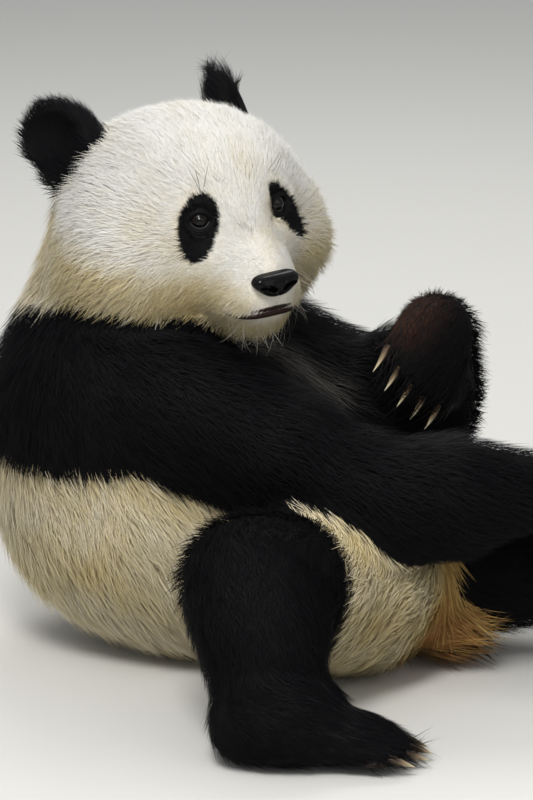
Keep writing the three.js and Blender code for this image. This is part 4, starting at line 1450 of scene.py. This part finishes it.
def makeNose():
    deselectAll()
    bpy.ops.mesh.primitive_ico_sphere_add(subdivisions=6, radius=1.0)
    pad = bpy.context.object
    pad.name = "nose_pad"
    points, _, _ = meshArrays(pad.data)
    square = nose["square"]
    x, y, z = (points / (np.sum(np.abs(points) ** square, axis=1) ** (1 / square))[:, None]).T
    z = z + nose["corners"] * (smoothStep(0.2, 1.0, np.abs(x)) - 0.5) * smoothStep(-0.3, 0.4, z)
    x = x * (1 - nose["narrow"] * smoothStep(0.35, -1.0, z))
    x, y, z = (np.array((x, y, z)).T * nose["radii"]).T
    front = smoothStep(0.002, -0.006, y)
    nostril = fromNostril(np.abs(x), z)
    pit = smoothStep(1.15, 0.55, nostril) * front
    wing = np.exp(-((nostril - 1.7) / 0.5) ** 2) * front
    wide, deep = nose["groove"]
    groove = np.exp(-((x / wide) ** 2)) * smoothStep(0.004, -0.004, z) * front
    y = y + nose["nostrilDepth"] * pit - nose["wing"] * wing + deep * groove
    setPoints(pad, fromHead(np.array((x, y, z)).T + nose["at"]))
    finishPiece(pad, nosePad, {"pit": pit})
    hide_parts("nose")


def makeLipMaterial():
    material = newMaterial("lipSkin")  # dark brown skin, softly creased across and barely moist
    place = addNode(material, "TexCoord", {}, "Object")
    creases = addNode(material, "TexNoise", {"Vector": place, "Scale": mouth["creases"], "Detail": 4.0})
    darker, lighter = mouth["colours"]
    colour = addNode(material, "Mix", {0: creases, 6: darker, 7: lighter}, **mixed)
    return finishMaterial(material, [(creases, 0.5, 0.0005)], {
        "Base Color": colour, "Roughness": 0.5, "Specular IOR Level": 0.16})


# The dark lips, each a low roll along the mouth, with a crease between them.
def makeLips():
    corner = math.radians(mouth["corner"])
    rows = []
    for turn in np.linspace(-corner, corner, mouth["points"]):
        way = np.array((math.sin(turn), -math.cos(turn), 0))
        start = np.array(mouth["at"]) + way * 0.12
        start[2] = mouthHeight(np.array([way[0] * 0.065]))[0]
        hit = onSkin(fromHead(start[None])[0], turnFromHead(-way[None])[0])
        at = toHead(hit[None])[0]
        taper = math.sqrt(max(1 - (turn / corner) ** 4, 0.02))
        row = []
        for step in np.linspace(0, 2 * math.pi, mouth["around"], endpoint=False):
            up = math.sin(step) * mouth["lip"] * 1.9 * taper
            roll = max(math.cos(step), -0.6) * (0.35 + 0.65 * min(abs(up) / (mouth["lip"] * 0.8), 1))
            row.append(at + way * (roll * mouth["roll"] * taper - mouth["sink"]) + (0, 0, up))
        rows.append(fromHead(np.array(row)))
    rows = np.array(rows)
    for _ in range(8):
        rows[1:-1] = (rows[:-2] + 2 * rows[1:-1] + rows[2:]) / 4
    finishPiece(rowMesh("mouth_line", rows, False), lipSkin)


claw = {
    "sides": 14,
    "rings": 16,
    "flat": 0.72,  # its width over its depth
    "root": 0.011,  # how far it goes on into the toe
    "radius": {"hand": 0.0044, "foot": 0.0042},
    "thin": 1.25,  # over 1 keeps it thick for longer
    "colours": [(0.0, "#4b3a2a"), (0.35, "#8d7a5c"), (0.75, "#cbbd9c"), (1.0, "#e3d9bd")],  # from root to tip
    "lineColour": "#5f4c34",
    "lines": 26.0,  # round it, so 1 mm apart at the root
}


def makeClawMaterial():
    material = newMaterial("clawHorn")  # translucent horn, brown at the root and ivory at the tip, finely lined
    place = addNode(material, "CombineXYZ", {
        "X": addNode(material, "Math", {0: "around", 1: claw["lines"]}, operation="MULTIPLY"),
        "Y": addNode(material, "Math", {0: "along", 1: 3.0}, operation="MULTIPLY")})
    lines = addNode(material, "TexNoise", {"Vector": place, "Scale": 1.0, "Detail": 3.0})
    horn = addNode(material, "ValToRGB", {"Fac": "along"}, stops=claw["colours"])
    share = addNode(material, "MapRange", {"Value": lines, "To Min": 0.0, "To Max": 0.55})
    colour = addNode(material, "Mix", {0: share, 6: horn, 7: claw["lineColour"]}, **mixed)
    return finishMaterial(material, [(lines, 0.4, 0.0003)], {
        "Base Color": colour, "Roughness": 0.36, "Coat Weight": 0.15, "Coat Roughness": 0.25})


# One claw is modelled along +Z and bent, then copied on to the root, middle and tip of each claw of the body.
def makeClaws():
    deselectAll()
    bpy.ops.mesh.primitive_cylinder_add(vertices=claw["sides"], radius=1.0, depth=1.0, location=(0, 0, 0.5),
                                        end_fill_type="NGON")
    first = bpy.context.object
    bpy.ops.object.transform_apply(location=True, rotation=True, scale=True)
    bpy.ops.object.mode_set(mode="EDIT")
    for ring in range(1, claw["rings"]):
        bpy.ops.mesh.select_all(action="SELECT")
        bpy.ops.mesh.bisect(plane_co=(0, 0, ring / claw["rings"]), plane_no=(0, 0, 1))
    bpy.ops.object.mode_set(mode="OBJECT")
    base, _, _ = meshArrays(first.data)
    x, y, along = base.T
    around = np.arctan2(y, x) / (2 * math.pi) + 0.5
    for name in nodes:
        if "_claw_" not in name:
            continue
        corners, _, _ = meshArrays(nodes[name].data)
        corners = np.unique(np.round(corners, 6), axis=0)
        limb, _, side, _ = name.split("_")
        paw = f"{limb}_{side}"
        forward = unit(centre(f"{limb}_claw_{side}_3") - centre(paw))
        down = unit(np.array(paws["facing"][paw]) - forward * np.dot(forward, paws["facing"][paw]))
        tip = corners[np.argmax(corners @ (forward + 0.3 * down))]
        far = np.linalg.norm(corners - tip, axis=1)
        root = corners[far > 0.85 * far.max()].mean(axis=0)
        chord = tip - root
        heading = unit(chord - down * np.dot(chord, down) * 0.8)
        start = root - heading * claw["root"]
        knot = np.clip(along, 0, 1)[:, None]
        control = root + heading * np.linalg.norm(chord) / 2
        whole = np.linalg.norm(chord)
        back = claw["root"] / (whole + claw["root"])
        part = (knot - back) / (1 - back)
        line = (1 - part) ** 2 * root + 2 * part * (1 - part) * control + part ** 2 * tip
        line = np.where(part < 0, root + part / back * (1 - back) * (root - start), line)
        way = unit(np.where(part < 0, root - start, 2 * (1 - part) * (control - root) + 2 * part * (tip - control)))
        plane = unit(np.cross(chord, down))
        over = unit(np.cross(way, plane))
        radius = claw["radius"][limb] * (1 - np.clip(part, 0, 1) ** claw["thin"] * 0.97)
        keel = 1 + 0.18 * np.clip(-y, 0, 1)[:, None]
        points = line + x[:, None] * radius * claw["flat"] * plane + y[:, None] * radius * keel * over
        piece = newPiece(name + "_horn", first.data.copy())
        setPoints(piece, points)
        finishPiece(piece, clawHorn, {"along": np.clip(part.ravel(), 0, 1), "around": around})
        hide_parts(name)
    bpy.data.objects.remove(first)


# Tufts grown apart from the coat, each with its patch of the unwrap taken from the skin under it.
def looseTufts(name, slot, root, normal, lie, length, width, lift=0.7, sway=0.12, rings=None, warm=0.0):
    count = len(root)
    lie = alongSkin(lie, normal)
    under = np.array([skinTree.find_nearest(Vector(point))[2] for point in root])
    aside = random.normal(0, sway, count)
    addTufts(name, slot, {
        "root": root, "normal": normal, "lie": unit(lie + np.cross(normal, lie) * aside[:, None]),
        "length": length * random.uniform(0.75, 1.15, count), "width": np.full(count, width),
        "lift": random.uniform(0.8, 1.2, count) * lift, "sway": random.normal(0, sway, count),
        "tone": random.uniform(0, 1, count), "pull": np.zeros((count, 3)), "cup": np.full(count, 0.3),
        "warm": np.full(count, warm), "grey": np.zeros(count), "rust": np.zeros(count),
        "unwrap": skinUnwrap[under].mean(axis=1)}, rings or coat["shortRings"])


whiskers = {
    # half the width of each, and its groups: where they grow in the head's axes, over what spread and which way, how
    # many there are and how long
    "chin_whiskers": (0.00022, [
        ((0.024, -0.150, -0.098), (0.018, 0.012, 0.006), (0.25, -0.3, -1.0), 22, 0.040),
        ((-0.024, -0.150, -0.098), (0.018, 0.012, 0.006), (-0.25, -0.3, -1.0), 22, 0.040)]),
    "muzzle_whiskers": (0.00018, [
        ((0.036, -0.158, -0.066), (0.006, 0.014, 0.010), (0.8, -0.2, -0.75), 16, 0.046),
        ((-0.036, -0.158, -0.066), (0.006, 0.014, 0.010), (-0.8, 0.1, -0.7), 8, 0.024)]),
    "brow_whiskers": (0.00026, [
        ((-0.047, -0.098, 0.043), (0.005, 0.004, 0.004), (-0.5, -0.3, 1.0), 3, 0.042),
        ((0.044, -0.098, 0.043), (0.005, 0.004, 0.004), (0.6, -0.3, 1.0), 3, 0.036)]),
}


def growWhiskers():
    for name, (width, groups) in whiskers.items():
        root, normal, lie, length = [], [], [], []
        for at, size, way, count, long in groups:
            for place in np.array(at) + random.normal(0, 1, (count, 3)) * size:
                hit, facing, _, _ = skinTree.find_nearest(Vector(fromHead(place[None])[0]))
                root.append(hit)
                normal.append(facing)
                lie.append(turnFromHead(np.array(way) + random.normal(0, 0.22, 3)))
                length.append(long)
        looseTufts(name, "coat_black" if name.startswith("brow") else "coat_white", np.array(root), unit(normal),
                   unit(lie), np.array(length), width, lift=1.6, sway=0.1, rings=[0.15, 0.4, 0.7], warm=0.1)


wetCornea = makeEyeMaterial()
lidSkin = makeLidMaterial()
nosePad = makeNoseMaterial()
lipSkin = makeLipMaterial()
clawHorn = makeClawMaterial()
lidHair = []  # roots, normals, lies and lengths
for eyeSide, eyeName in ((-1, "right"), (1, "left")):
    makeEye(eyeSide, eyeName)
    makeLids(eyeSide, eyeName)
looseTufts("lid_coat", "coat_black", *(np.concatenate(part) for part in zip(*lidHair)), width=eyes["lidHairWidth"],
           lift=0.55)
makeNose()
makeLips()
growWhiskers()
makeClaws()
report("eyes, lids, nose, lips, whiskers and claws")
